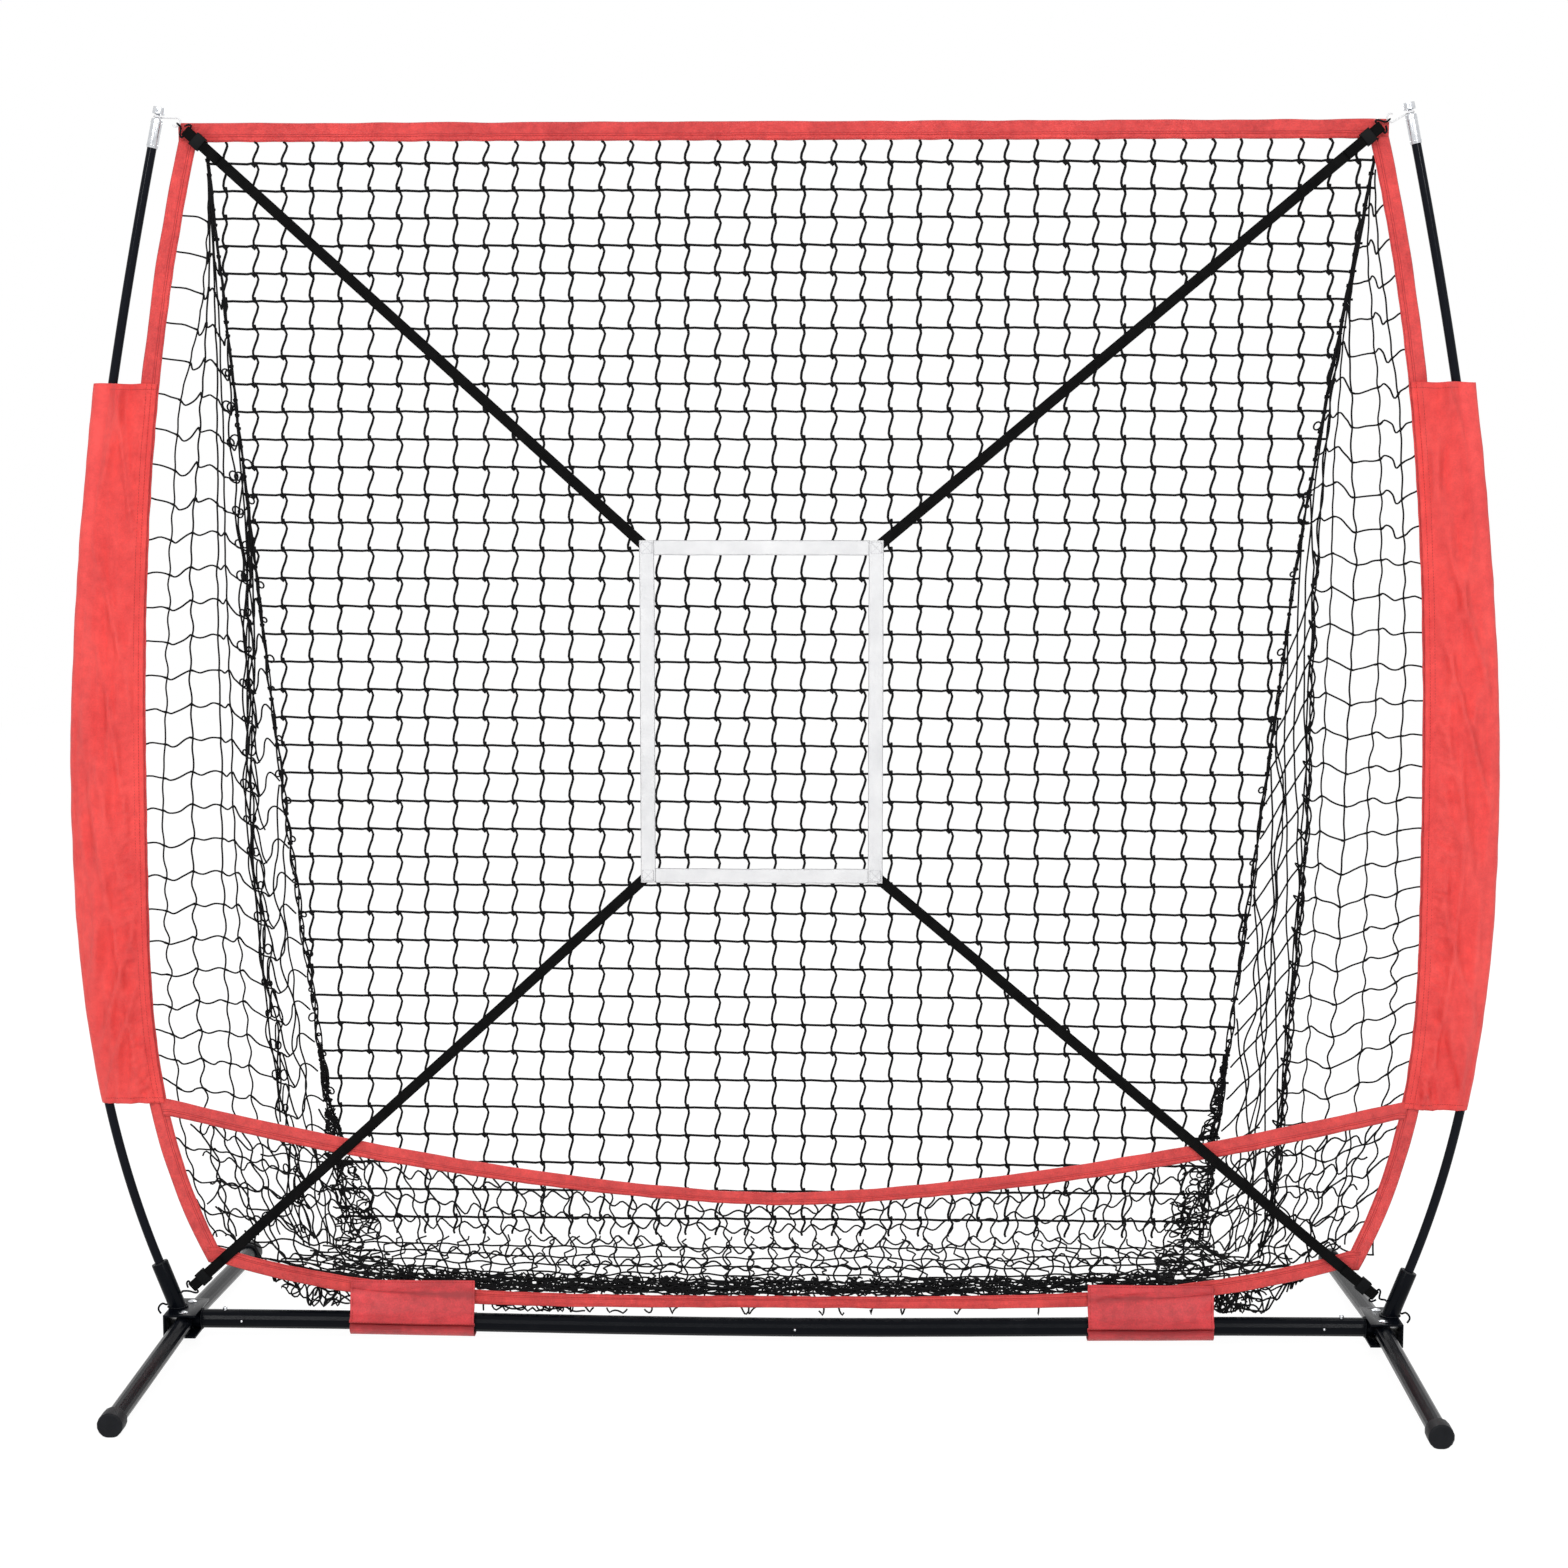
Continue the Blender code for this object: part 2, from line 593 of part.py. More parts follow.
def build_button(side, name):
    """Sprung snap button that locks the crossbar in its stub, and its folded leaf spring."""
    x = side * (stub_mouth_x() + BUTTON_INSET)
    top = BAR_RADIUS + BUTTON_STAND
    foot = BUTTON_FLANGE_TOP - BUTTON_FLANGE_HEIGHT
    dome = BUTTON_RADIUS * 0.5
    bm = bmesh.new()
    rise = top - foot
    profile = [(0.0, BUTTON_FLANGE), (BUTTON_FLANGE_HEIGHT, BUTTON_FLANGE),
               (BUTTON_FLANGE_HEIGHT, BUTTON_RADIUS), (rise - dome, BUTTON_RADIUS),
               (rise - dome * 0.35, BUTTON_RADIUS * 0.8), (rise, BUTTON_RADIUS * 0.4)]
    turned(bm, (x, 0.0, HUB_Z + foot), (0, 0, 1), (1, 0, 0), profile, 12)
    add_object("snap_button_" + name, bm, bright_steel(), (x, 0.0, HUB_Z))
    leaf = SPRING_SHEET / 2
    high = foot - CLEAR - leaf
    steps = 4
    leaves = [(k / steps, blend(high, 0.0, k / steps * 0.8)) for k in range(steps)]
    leaves.append((1.0, SPRING_BEND))
    for k in range(steps - 1, -1, -1):
        leaves.append((k / steps, blend(-SPRING_LOW, SPRING_LOW_END, k / steps * 0.8)))
    path = [Vector((x - side * SPRING_LENGTH * share, 0.0, HUB_Z + z)) for share, z in leaves]
    bm = bmesh.new()
    ribbon(bm, path, (0, 1, 0), SPRING_WIDTH, SPRING_SHEET)
    add_object("button_spring_" + name, bm, bright_steel(), (x, 0.0, HUB_Z))


# ------------------------------------------------------------------ poles
def socket_axis(side):
    """Mouth of a pole socket and the direction up out of it."""
    lean = socket_lean()
    mouth = Vector((side * socket_top_x(), 0.0, SOCKET_TOP_Z))
    return mouth, Vector((side * lean, 0.0, 1.0)).normalized()


def build_socket(side, name):
    """Pole socket welded on the hub channel, with the plastic bush that grips the pole."""
    mouth, up = socket_axis(side)
    seat = HUB_Z + channel_half() + PLATE + CLEAR
    length = (SOCKET_TOP_Z - seat) / up.z + SOCKET_RADIUS
    inner = SOCKET_RADIUS - SOCKET_WALL
    bm = bmesh.new()
    pipe(bm, [(mouth - up * length, up, SOCKET_RADIUS), (mouth, up, SOCKET_RADIUS)],
         [(mouth - up * length, up, inner), (mouth, up, inner)], (0, 1, 0), TUBE_SIDES)
    socket = add_object("pole_socket_" + name, bm, black_paint(), mouth)
    cutter = bmesh.new()
    block(cutter, (mouth.x - 0.1, -0.05, seat - 0.04), (mouth.x + 0.1, 0.05, seat))
    cut(socket, cutter, "cut_socket_" + name)
    bore = POLE_RADIUS + CLEAR
    lip = BUSH_LIP + CLEAR
    body = inner - CLEAR
    bm = bmesh.new()
    outside = [(BUSH_FLOOR, bore), (BUSH_LENGTH + lip, bore), (BUSH_LENGTH + lip, SOCKET_RADIUS - 0.0006),
               (BUSH_LENGTH + CLEAR, SOCKET_RADIUS), (BUSH_LENGTH + CLEAR, body), (0.0, body)]
    turned(bm, mouth - up * BUSH_LENGTH, up, (0, 1, 0), outside, 16)
    add_object("pole_bush_" + name, bm, black_plastic(), mouth)


def pole_path(side):
    """Axis of a pole from its butt in the bush to its end inside the tip."""
    mouth, up = socket_axis(side)
    butt = mouth - up * (BUSH_LENGTH - BUSH_FLOOR - CLEAR)
    points = [butt, mouth]
    count = 15
    for k in range(1, count + 1):
        z = blend(SOCKET_TOP_Z, POLE_TOP_Z, k / count)
        points.append(Vector((side * pole_x(z), 0.0, z)))
    tip_up = tip_axis(side)[1]
    points.append(points[-1] + tip_up * (TIP_BORE - CLEAR))
    return points


def tip_axis(side):
    base = Vector((side * POLE_TOP_X, 0.0, POLE_TOP_Z))
    return base, Vector((side * tip_lean(), 0.0, 1.0)).normalized()


def build_pole(side, name):
    """Bowed fibreglass pole."""
    path = pole_path(side)
    rings = []
    for i, point in enumerate(path):
        along = (path[min(i + 1, len(path) - 1)] - path[max(i - 1, 0)]).normalized()
        if i == 1:
            along = socket_axis(side)[1]
        if i == len(path) - 2:
            along = tip_axis(side)[1]
        rings.append(circle(point, along, (0, 1, 0), POLE_RADIUS, 12))
    bm = bmesh.new()
    loft(bm, rings)
    add_object("pole_" + name, bm, fibreglass(), path[0])


def build_tip(side, name):
    """Metal tip: a sleeve over the pole's end, a neck and a slotted crown."""
    base, up = tip_axis(side)
    bore = POLE_RADIUS + CLEAR
    outer = bore + TIP_WALL
    neck = TIP_LENGTH + TIP_NECK_LENGTH
    top = neck + TIP_CROWN_LENGTH
    profile = [(TIP_BORE, bore), (0.0, bore), (0.0, outer), (TIP_LENGTH - 0.001, outer),
               (TIP_LENGTH, outer - 0.001), (TIP_LENGTH, TIP_NECK_RADIUS), (neck, TIP_NECK_RADIUS),
               (neck + 0.001, TIP_CROWN_RADIUS), (top, TIP_CROWN_RADIUS)]
    bm = bmesh.new()
    turned(bm, base, up, (0, 1, 0), profile, 16)
    tip = add_object("pole_tip_" + name, bm, bright_steel(), base)
    turn = Matrix.Translation(base) @ Vector((0, 0, 1)).rotation_difference(up).to_matrix().to_4x4()
    for k in range(2):
        cutter = bmesh.new()
        half = TIP_SLOT / 2
        long = TIP_CROWN_RADIUS + 0.004
        size = (half, long) if k else (long, half)
        low = top - TIP_SLOT_DEPTH
        block(cutter, (-size[0], -size[1], low), (size[0], size[1], top + 0.002))
        cut(tip, cutter, "cut_tip_" + name + "_" + str(k), turn)


# ------------------------------------------------------------------ hems
def add_hem(name, lower, upper):
    """Flat folded tape between two equal lists of (x, z) edge points."""
    half = HEM_SHEET / 2
    rings = []
    for (xa, za), (xb, zb) in zip(lower, upper):
        rings.append([Vector((xa, -half, za)), Vector((xb, -half, zb)),
                      Vector((xb, half, zb)), Vector((xa, half, za))])
    bm = bmesh.new()
    loft(bm, rings)
    middle = rings[len(rings) // 2]
    add_object(name, bm, red_polyester(), sum(middle, Vector()) / 4)


def add_cross_hem(name, edge, width, end):
    """Hem that crosses the mouth with its upper edge along edge(x); its ends are cut to the side hems."""
    low_end = side_edge(edge(end) - width) - CLEAR - HEM_END_GAP
    xs = [blend(-end, end, k / HEM_STEPS) for k in range(HEM_STEPS + 1)]
    upper = [(x, edge(x)) for x in xs]
    lower = [(x * low_end / end, edge(x) - width) for x in xs]
    add_hem(name, lower, upper)


def build_hems():
    """The taped edges of the net: top, two sides, bottom and the lip of the ball pocket."""
    low = HEM_TOP_Z - HEM_WIDTH
    ends = (-HEM_TOP_X, HEM_TOP_X)
    add_hem("top_hem", [(x, low) for x in ends], [(x, HEM_TOP_Z) for x in ends])
    foot = SIDE_LOW_Z - HEM_WIDTH
    heights = [blend(foot, low - CLEAR, k / HEM_STEPS) for k in range(HEM_STEPS + 1)]
    for side, name in ((-1, "left"), (1, "right")):
        inner = [(side * side_edge(z), z) for z in heights]
        outer = [(side * (side_edge(z) + HEM_WIDTH), z) for z in heights]
        add_hem("side_hem_" + name, inner, outer)
    add_cross_hem("bottom_hem", bottom_edge, BOTTOM_HEM_WIDTH, bottom_end_x())
    add_cross_hem("pocket_hem", pocket_edge, POCKET_HEM_WIDTH, pocket_end_x())


# ------------------------------------------------------------------ sleeves and flaps
def sleeve_outer(z):
    """Outer edge of a sleeve."""
    free = POLE_RADIUS + SLEEVE_POLE_GAP + SLEEVE_SHEET
    share = max(0.0, (z - POLE_WIDEST_Z) / (SLEEVE_HIGH_Z - POLE_WIDEST_Z))
    return pole_x(z) + free + SLEEVE_SLACK * share ** 1.2


def sleeve_section(z, inset):
    """Closed outline round the pole at a height: thin at the seam, full at the pole. inset is 0 outside."""
    seam = side_edge(z) + HEM_WIDTH + CLEAR
    pole = pole_x(z)
    outer = sleeve_outer(z) - inset
    full = POLE_RADIUS + SLEEVE_POLE_GAP + SLEEVE_SHEET - inset
    thin = SLEEVE_SEAM - inset
    start = seam + 2 * inset
    front = []
    for share in (0.0, 0.35, 0.7, 0.9, 1.0):
        front.append((blend(start, pole, share), blend(thin, full, share ** 1.6)))
    for angle in (30, 60, 90):
        turn = math.radians(angle)
        front.append((pole + (outer - pole) * math.sin(turn), full * math.cos(turn)))
    outline = [Vector((x, -y, z)) for x, y in front[:-1]]
    outline.append(Vector((outer, 0.0, z)))
    outline += [Vector((x, y, z)) for x, y in reversed(front[:-1])]
    return outline


def build_sleeve(side, name):
    """Cloth channel that the pole runs through, sewn along the side hem."""
    count = 12
    heights = [blend(SLEEVE_LOW_Z, SLEEVE_HIGH_Z, k / count) for k in range(count + 1)]
    rings = [sleeve_section(z, 0.0) for z in heights]
    rings += [sleeve_section(z, SLEEVE_SHEET) for z in reversed(heights)]
    if side < 0:
        rings = [[Vector((-p.x, p.y, p.z)) for p in ring] for ring in rings]
    bm = bmesh.new()
    loft(bm, rings, closed=True)
    middle = (SLEEVE_LOW_Z + SLEEVE_HIGH_Z) / 2
    add_object("side_sleeve_" + name, bm, red_polyester(), (side * pole_x(middle), 0.0, middle))


def flap_profile():
    """A flap's way round the crossbar, front to loose end: (y, height above the bar's axis)."""
    front = BAR_RADIUS + FLAP_BAR_GAP + FLAP_SHEET / 2
    drop = BAR_RADIUS + FLAP_DROP - FLAP_SHEET / 2
    under = [(-0.80, -0.80), (-0.4, -0.98), (0.0, -1.0), (0.4, -0.98), (0.80, -0.80)]
    points = [(-front, 0.004), (-front, -0.006)]
    points += [(front * y, drop * z) for y, z in under]
    points += [(front, -0.006), (front, 0.002), (front * 0.97, FLAP_REAR_RISE)]
    return points


def build_flap(side, name):
    """Cloth flap that hangs from the bottom hem, round the crossbar, and closes on itself."""
    near = side * FLAP_NEAR_X
    far = side * (FLAP_NEAR_X + FLAP_WIDTH)
    hang = -(HEM_SHEET / 2 + CLEAR + FLAP_SHEET / 2)
    sheets = []
    for x in (near, (near + far) / 2, far):
        axis = bar_z(x)
        path = [Vector((x, hang, FLAP_TOP_Z)), Vector((x, hang - 0.0005, FLAP_TOP_Z - 0.017)),
                Vector((x, hang - 0.003, bottom_edge(x) - BOTTOM_HEM_WIDTH)),
                Vector((x, hang - 0.0115, axis + 0.017))]
        path += [Vector((x, y, axis + z)) for y, z in flap_profile()]
        sheets.append(path)
    rings = []
    for path in sheets:
        ring_out = []
        ring_in = []
        for i, point in enumerate(path):
            along = path[min(i + 1, len(path) - 1)] - path[max(i - 1, 0)]
            face = along.cross(Vector((1, 0, 0))).normalized() * (FLAP_SHEET / 2)
            ring_out.append(point + face)
            ring_in.append(point - face)
        rings.append(ring_out + list(reversed(ring_in)))
    bm = bmesh.new()
    rows = [[bm.verts.new(p) for p in ring] for ring in rings]
    count = len(rows[0])
    for low, high in zip(rows, rows[1:]):
        for i in range(count):
            j = (i + 1) % count
            bm.faces.new((low[i], low[j], high[j], high[i]))
    half = count // 2
    for row in (rows[0], rows[-1]):
        for i in range(half - 1):
            bm.faces.new((row[i], row[i + 1], row[count - 2 - i], row[count - 1 - i]))
    add_object("crossbar_flap_" + name, bm, red_polyester(), ((near + far) / 2, 0.0, HUB_Z))


# ------------------------------------------------------------------ net bag
def net_lines(count, strand):
    """Shares along one direction: both edges of each strand, border strands included."""
    values = []
    for i in range(count + 1):
        middle = strand / 2 + (1.0 - strand) * i / count
        values += [middle - strand / 2, middle + strand / 2]
    return values


def add_net(name, surface, columns, rows, size, offset):
    """Square net as a grid of strands. surface(u, v) gives points, size its mean width and height."""
    us = net_lines(columns, NET_STRAND / size[0])
    vs = net_lines(rows, NET_STRAND / size[1])
    bm = bmesh.new()
    offset = Vector(offset)
    front = [[bm.verts.new(surface(u, v) - offset / 2) for u in us] for v in vs]
    back = [[bm.verts.new(surface(u, v) + offset / 2) for u in us] for v in vs]

    def solid(i, j):
        inside = 0 <= i < len(us) - 1 and 0 <= j < len(vs) - 1
        return inside and (i % 2 == 0 or j % 2 == 0)

    for j in range(len(vs) - 1):
        for i in range(len(us) - 1):
            if not solid(i, j):
                continue
            bm.faces.new((front[j][i], front[j][i + 1], front[j + 1][i + 1], front[j + 1][i]))
            bm.faces.new((back[j][i], back[j + 1][i], back[j + 1][i + 1], back[j][i + 1]))
            corners = [(i, j), (i + 1, j), (i + 1, j + 1), (i, j + 1)]
            beside = [(i, j - 1), (i + 1, j), (i, j + 1), (i - 1, j)]
            for k in range(4):
                if solid(*beside[k]):
                    continue
                a = corners[k]
                b = corners[(k + 1) % 4]
                bm.faces.new((front[a[1]][a[0]], back[a[1]][a[0]], back[b[1]][b[0]], front[b[1]][b[0]]))
    add_object(name, bm, black_twine(), surface(0.5, 0.5))


def behind_hem():
    """Y of the middle of a net panel sewn to the back of a hem."""
    return HEM_SHEET / 2 + CLEAR + NET_SHEET / 2


def back_corner(side, v):
    """Side edge of the back net, from its foot (v = 0) up to the top hem (v = 1)."""
    top = Vector((BACK_TOP_X, HEM_SHEET / 2, HEM_TOP_Z - HEM_WIDTH - CLEAR - NET_SHEET / 4))
    foot = Vector((BACK_LOW_X, BACK_LOW_Y, BACK_LOW_Z))
    point = blend(foot, top, v)
    return Vector((side * point.x, point.y, point.z))


def build_nets():
    """Back, side, floor and pocket panels of the bag."""
    foot = back_corner(1, 0.0)
    top = back_corner(1, 1.0)
    rise = (top - foot).normalized()
    face = Vector((0.0, rise.z, -rise.y)).normalized() * NET_SHEET

    def back(u, v):
        return blend(back_corner(-1, v), back_corner(1, v), u)

    size = (foot.x + top.x, (top - foot).length)
    add_net("back_net", back, BACK_COLUMN_COUNT, BACK_ROW_COUNT, size, face)
    for side, name in ((-1, "left"), (1, "right")):
        build_side_net(side, name, foot, top)
    build_floor_net(foot)
    build_pocket_net()


def build_side_net(side, name, foot, top):
    """Ruled panel from the back of the side hem to the edge of the back net."""
    low = SIDE_LOW_Z + CLEAR
    across = Vector((side * (foot.x - side_edge(low)), foot.y, 0.0)).normalized()
    face = across.cross(Vector((0, 0, 1))).normalized() * NET_SHEET
    seam_y = HEM_SHEET / 2 + CLEAR + abs(face.y) / 2
    edge_gap = NET_SHEET + CLEAR

    def surface(u, v):
        z = blend(low, SIDE_NET_TOP_Z, v)
        front = Vector((side * (side_edge(z) + NET_STRAND), seam_y, z))
        share = blend(SIDE_NET_LIFT, SIDE_NET_TOP_Z - foot.z, v) / (top.z - foot.z)
        rear = back_corner(side, share) + Vector((side * edge_gap, -edge_gap / 2, 0.0))
        return blend(front, rear, u)

    width = (surface(1.0, 0.3) - surface(0.0, 0.3)).length
    size = (width, SIDE_NET_TOP_Z - low)
    add_net("side_net_" + name, surface, SIDE_COLUMN_COUNT, SIDE_ROW_COUNT, size, face)


def build_floor_net(foot):
    """Bottom panel, from the bottom hem back to the foot of the back net."""
    end = bottom_end_x() * 0.985

    def surface(u, v):
        x = blend(-end, end, u)
        low = bottom_edge(x) - BOTTOM_HEM_WIDTH / 2
        front = Vector((x, HEM_SHEET / 2 + CLEAR, low))
        rear = Vector((blend(-foot.x, foot.x, u), foot.y - NET_SHEET - 2 * CLEAR, foot.z - NET_SHEET / 4))
        return blend(front, rear, v)

    size = (2 * foot.x, foot.y)
    add_net("floor_net", surface, LOWER_COLUMN_COUNT, FLOOR_ROW_COUNT, size, (0.0, 0.0, NET_SHEET))


def build_pocket_net():
    """Front panel between the bottom hem and the pocket hem, sewn behind both."""
    def surface(u, v):
        low_x = blend(-bottom_end_x(), bottom_end_x(), u) * 0.985
        high_x = blend(-pocket_end_x(), pocket_end_x(), u) * 0.975
        low = Vector((low_x, behind_hem(), bottom_edge(low_x) - NET_STRAND))
        high = Vector((high_x, behind_hem(), pocket_edge(high_x) - POCKET_HEM_WIDTH + NET_STRAND))
        return blend(low, high, v)

    size = (bottom_end_x() + pocket_end_x(), POCKET_MID_Z - BOTTOM_MID_Z)
    add_net("pocket_net", surface, LOWER_COLUMN_COUNT, POCKET_ROW_COUNT, size, (0.0, NET_SHEET, 0.0))


# ------------------------------------------------------------------ strike zone and straps
def build_zone():
    """White webbing rectangle."""
    front = STRAP_PLANE + STRAP_LOOP - STRAP_SHEET / 2 - CLEAR - ZONE_SHEET
    rings = []
    for sx, sz in ((-1, -1), (1, -1), (1, 1), (-1, 1)):
        out = Vector((ZONE_X + sx * ZONE_WIDTH / 2, 0.0, ZONE_Z + sz * ZONE_HEIGHT / 2))
        inside = out - Vector((sx * ZONE_BAND, 0.0, sz * ZONE_BAND))
        back = front + ZONE_SHEET
        ring = []
        for point, y in ((out, front), (inside, front), (inside, back), (out, back)):
            ring.append(Vector((point.x, y, point.z)))
        rings.append(ring)
    bm = bmesh.new()
    loft(bm, rings, closed=True)
    add_object("strike_zone_frame", bm, white_webbing(), (ZONE_X, front, ZONE_Z))


def strap_line(side, level):
    """Zone corner, hook bar and outward direction of one strap; level is +1 for a top strap."""
    inset = ZONE_BAND / 2
    zone = Vector((ZONE_X + side * (ZONE_WIDTH / 2 - inset), 0.0, ZONE_Z + level * (ZONE_HEIGHT / 2 - inset)))
    if level > 0:
        eye = Vector((side * CORNER_X, 0.0, CORNER_Z))
        out = (eye - zone).normalized()
        bar = eye - out * (hook_curl_at() + CORD_EYE)
    else:
        bar = Vector((side * LOW_EYE_X, 0.0, LOW_EYE_Z))
        out = (bar - zone).normalized()
    return zone, bar, out


def hook_curl_at():
    """Distance from a top hook's bar to the cord that it holds."""
    return HOOK_EYE_LENGTH + 0.0045


def strap_turn(out):
    """Turn about Y that lays local X along the strap."""
    return math.atan2(-out.z, out.x)


def build_strap(side, level, name):
    """Elastic webbing strap: sewn under the zone, looped round its hook, tail folded back in front."""
    zone, bar, out = strap_line(side, level)
    length = (bar - zone).length
    path = [Vector((-length, STRAP_LOOP, 0.0)), Vector((-length / 2, STRAP_LOOP, 0.0))]
    for k in range(9):
        angle = math.pi * k / 8
        path.append(Vector((STRAP_LOOP * math.sin(angle), STRAP_LOOP * math.cos(angle), 0.0)))
    path.append(Vector((-STRAP_TAIL, -STRAP_LOOP, 0.0)))
    bm = bmesh.new()
    ribbon(bm, path, (0, 0, 1), STRAP_WIDTH, STRAP_SHEET)
    origin = Vector((bar.x, STRAP_PLANE, bar.z))
    add_object("strap_" + name, bm, black_webbing(), origin, turn_y=strap_turn(out), local=True)


def build_adjuster(side, level, name):
    """Plastic slider with a middle bar; it slides along the doubled strap."""
    bar, out = strap_line(side, level)[1:]
    slot = STRAP_SHEET / 2 + ADJUSTER_GAP
    half = Vector((ADJUSTER_LENGTH / 2, STRAP_LOOP + slot + ADJUSTER_WALL, ADJUSTER_WIDTH / 2))
    bm = bmesh.new()
    block(bm, -half, half)
    centre = bar - out * ADJUSTER_AT
    origin = Vector((centre.x, STRAP_PLANE, centre.z))
    turn = strap_turn(out)
    slider = add_object("adjuster_" + name, bm, black_plastic(), origin, turn_y=turn, local=True)
    place = Matrix.Translation(origin) @ Matrix.Rotation(turn, 4, "Y")
    wide = STRAP_WIDTH / 2 + ADJUSTER_GAP
    for k, y in enumerate((-STRAP_LOOP, STRAP_LOOP)):
        cutter = bmesh.new()
        block(cutter, (-ADJUSTER_LENGTH, y - slot, -wide), (ADJUSTER_LENGTH, y + slot, wide))
        cut(slider, cutter, "cut_adjuster_" + name + "_" + str(k), place)


def hook_eye(bar, out):
    """Points of a hook's wire eye, from its free end round to the shank; the strap loop holds its bar."""
    across = Vector((-out.z, 0.0, out.x))
    half = HOOK_EYE_WIDTH / 2
    length = HOOK_EYE_LENGTH
    shoulder = (length * HOOK_SHOULDER[0], half * HOOK_SHOULDER[1])
    local = [(length * HOOK_FREE_TAIL[0], HOOK_FREE_TAIL[1]), (shoulder[0], -shoulder[1])]
    local += [(0.0, half * share) for share in (-1.0, -0.5, 0.0, 0.5, 1.0)]
    local += [shoulder, (length, HOOK_SHANK_OFF)]
    origin = Vector((bar.x, STRAP_PLANE, bar.z))
    return [origin + out * a + across * b for a, b in local]


def build_top_hook(side, name):
    """Wire hook that holds a top strap on the corner cord."""
    bar, out = strap_line(side, 1)[1:]
    points = hook_eye(bar, out)
    origin = Vector((bar.x, STRAP_PLANE, bar.z))
    curl = CORD_RADIUS + HOOK_RADIUS + 2 * CLEAR
    at = hook_curl_at()
    for angle in (100, 60, 0, -60, -110):
        turn = math.radians(angle)
        points.append(origin + out * (at + curl * math.cos(turn)) - Vector((0, curl * math.sin(turn), 0)))
    bm = bmesh.new()
    wire(bm, smooth_path(points, 2), HOOK_RADIUS)
    add_object("hook_top_" + name, bm, black_paint(), origin)


def build_low_hook(side, name):
    """Wire hook that passes behind a pole socket; its open end curls down outside the hub."""
    bar, out = strap_line(side, -1)[1:]
    points = hook_eye(bar, out)
    mouth, up = socket_axis(side)
    inward = Vector((-side * up.z, 0.0, side * up.x))
    ring = SOCKET_RADIUS + HOOK_RADIUS + HOOK_WRAP_GAP
    for k, angle in enumerate((170, 130, 90, 50, 12)):
        z = blend(HOOK_WRAP_HIGH, HOOK_WRAP_LOW, k / 4)
        centre = mouth + up * ((z - SOCKET_TOP_Z) / up.z)
        turn = math.radians(180 - angle)
        points.append(centre + ring * (math.cos(turn) * inward + Vector((0, math.sin(turn), 0))))
    outer = side * (HUB_X + CHANNEL_OUTER + HOOK_CURL_OUT)
    for dx, y, z in HOOK_CURL:
        points.append(Vector((outer + side * dx, y, z)))
    bm = bmesh.new()
    wire(bm, smooth_path(points, 2), HOOK_RADIUS)
    add_object("hook_low_" + name, bm, black_paint(), Vector((bar.x, STRAP_PLANE, bar.z)))


def build_corner_cord(side, name):
    """Elastic cord: looped round the neck of the pole tip, run to the net's corner and eyed there."""
    out = strap_line(side, 1)[2]
    across = Vector((-out.z, 0.0, out.x))
    eye = Vector((side * CORNER_X, 0.0, CORNER_Z))
    near_y = STRAP_PLANE
    far_y = -(HEM_SHEET / 2 + CLEAR + CORD_RADIUS)
    base, up = tip_axis(side)
    neck = base + up * (TIP_LENGTH + TIP_NECK_LENGTH / 2)
    toward = Vector((neck.x - eye.x, 0.0, neck.z - eye.z)).normalized()
    start = math.atan2(toward.dot(across), toward.dot(out))
    points = []
    for k in range(9):
        angle = start + math.radians(blend(55, 305, k / 8))
        share = (1 + math.cos(angle)) / 2
        flat = eye + CORD_EYE * (math.cos(angle) * out + math.sin(angle) * across)
        points.append(Vector((flat.x, blend(near_y, far_y, share), flat.z)))
    inward = Vector((-side * up.z, 0.0, side * up.x))
    loop = TIP_NECK_RADIUS + CORD_RADIUS + 3 * CLEAR
    for angle in (60, 100, 145, 190, 235, 280, 325):
        turn = math.radians(angle)
        points.append(neck + loop * (math.cos(turn) * inward + Vector((0, math.sin(turn), 0))))
    bm = bmesh.new()
    wire(bm, smooth_path(points, 2), CORD_RADIUS)
    mat = material("pale_elastic", (0.8, 0.8, 0.8), 0.7)
    add_object("corner_cord_" + name, bm, mat, neck)


def build_all():
    for side, name in ((-1, "left"), (1, "right")):
        build_hub(side, name)
        for end, place in ((-1, "front_"), (1, "rear_")):
            build_pin(side, end * LEG_PIVOT_Y, place + name)
            build_leg(side, end, place + name)
        build_stub(side, name)
        build_crossbar(side, name)
        build_button(side, name)
        build_socket(side, name)
        build_pole(side, name)
        build_tip(side, name)
        build_sleeve(side, name)
        build_flap(side, name)
        build_top_hook(side, name)
        build_low_hook(side, name)
        build_corner_cord(side, name)
        for level, place in ((1, "top_"), (-1, "low_")):
            build_strap(side, level, place + name)
            build_adjuster(side, level, place + name)
    build_hems()
    build_nets()
    build_zone()


build_all()
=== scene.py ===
"""Pitching target net, dressed: steel base, two bowed poles, a red-hemmed net bag and a hung strike zone.

All sizes are in metres. X runs along the crossbar, -Y is the open mouth, and Z is up from the floor.
"""
from math import atan2, cos, exp, hypot, pi, radians, sin, tau

import bmesh
import bpy
from mathutils import Matrix, Vector, noise


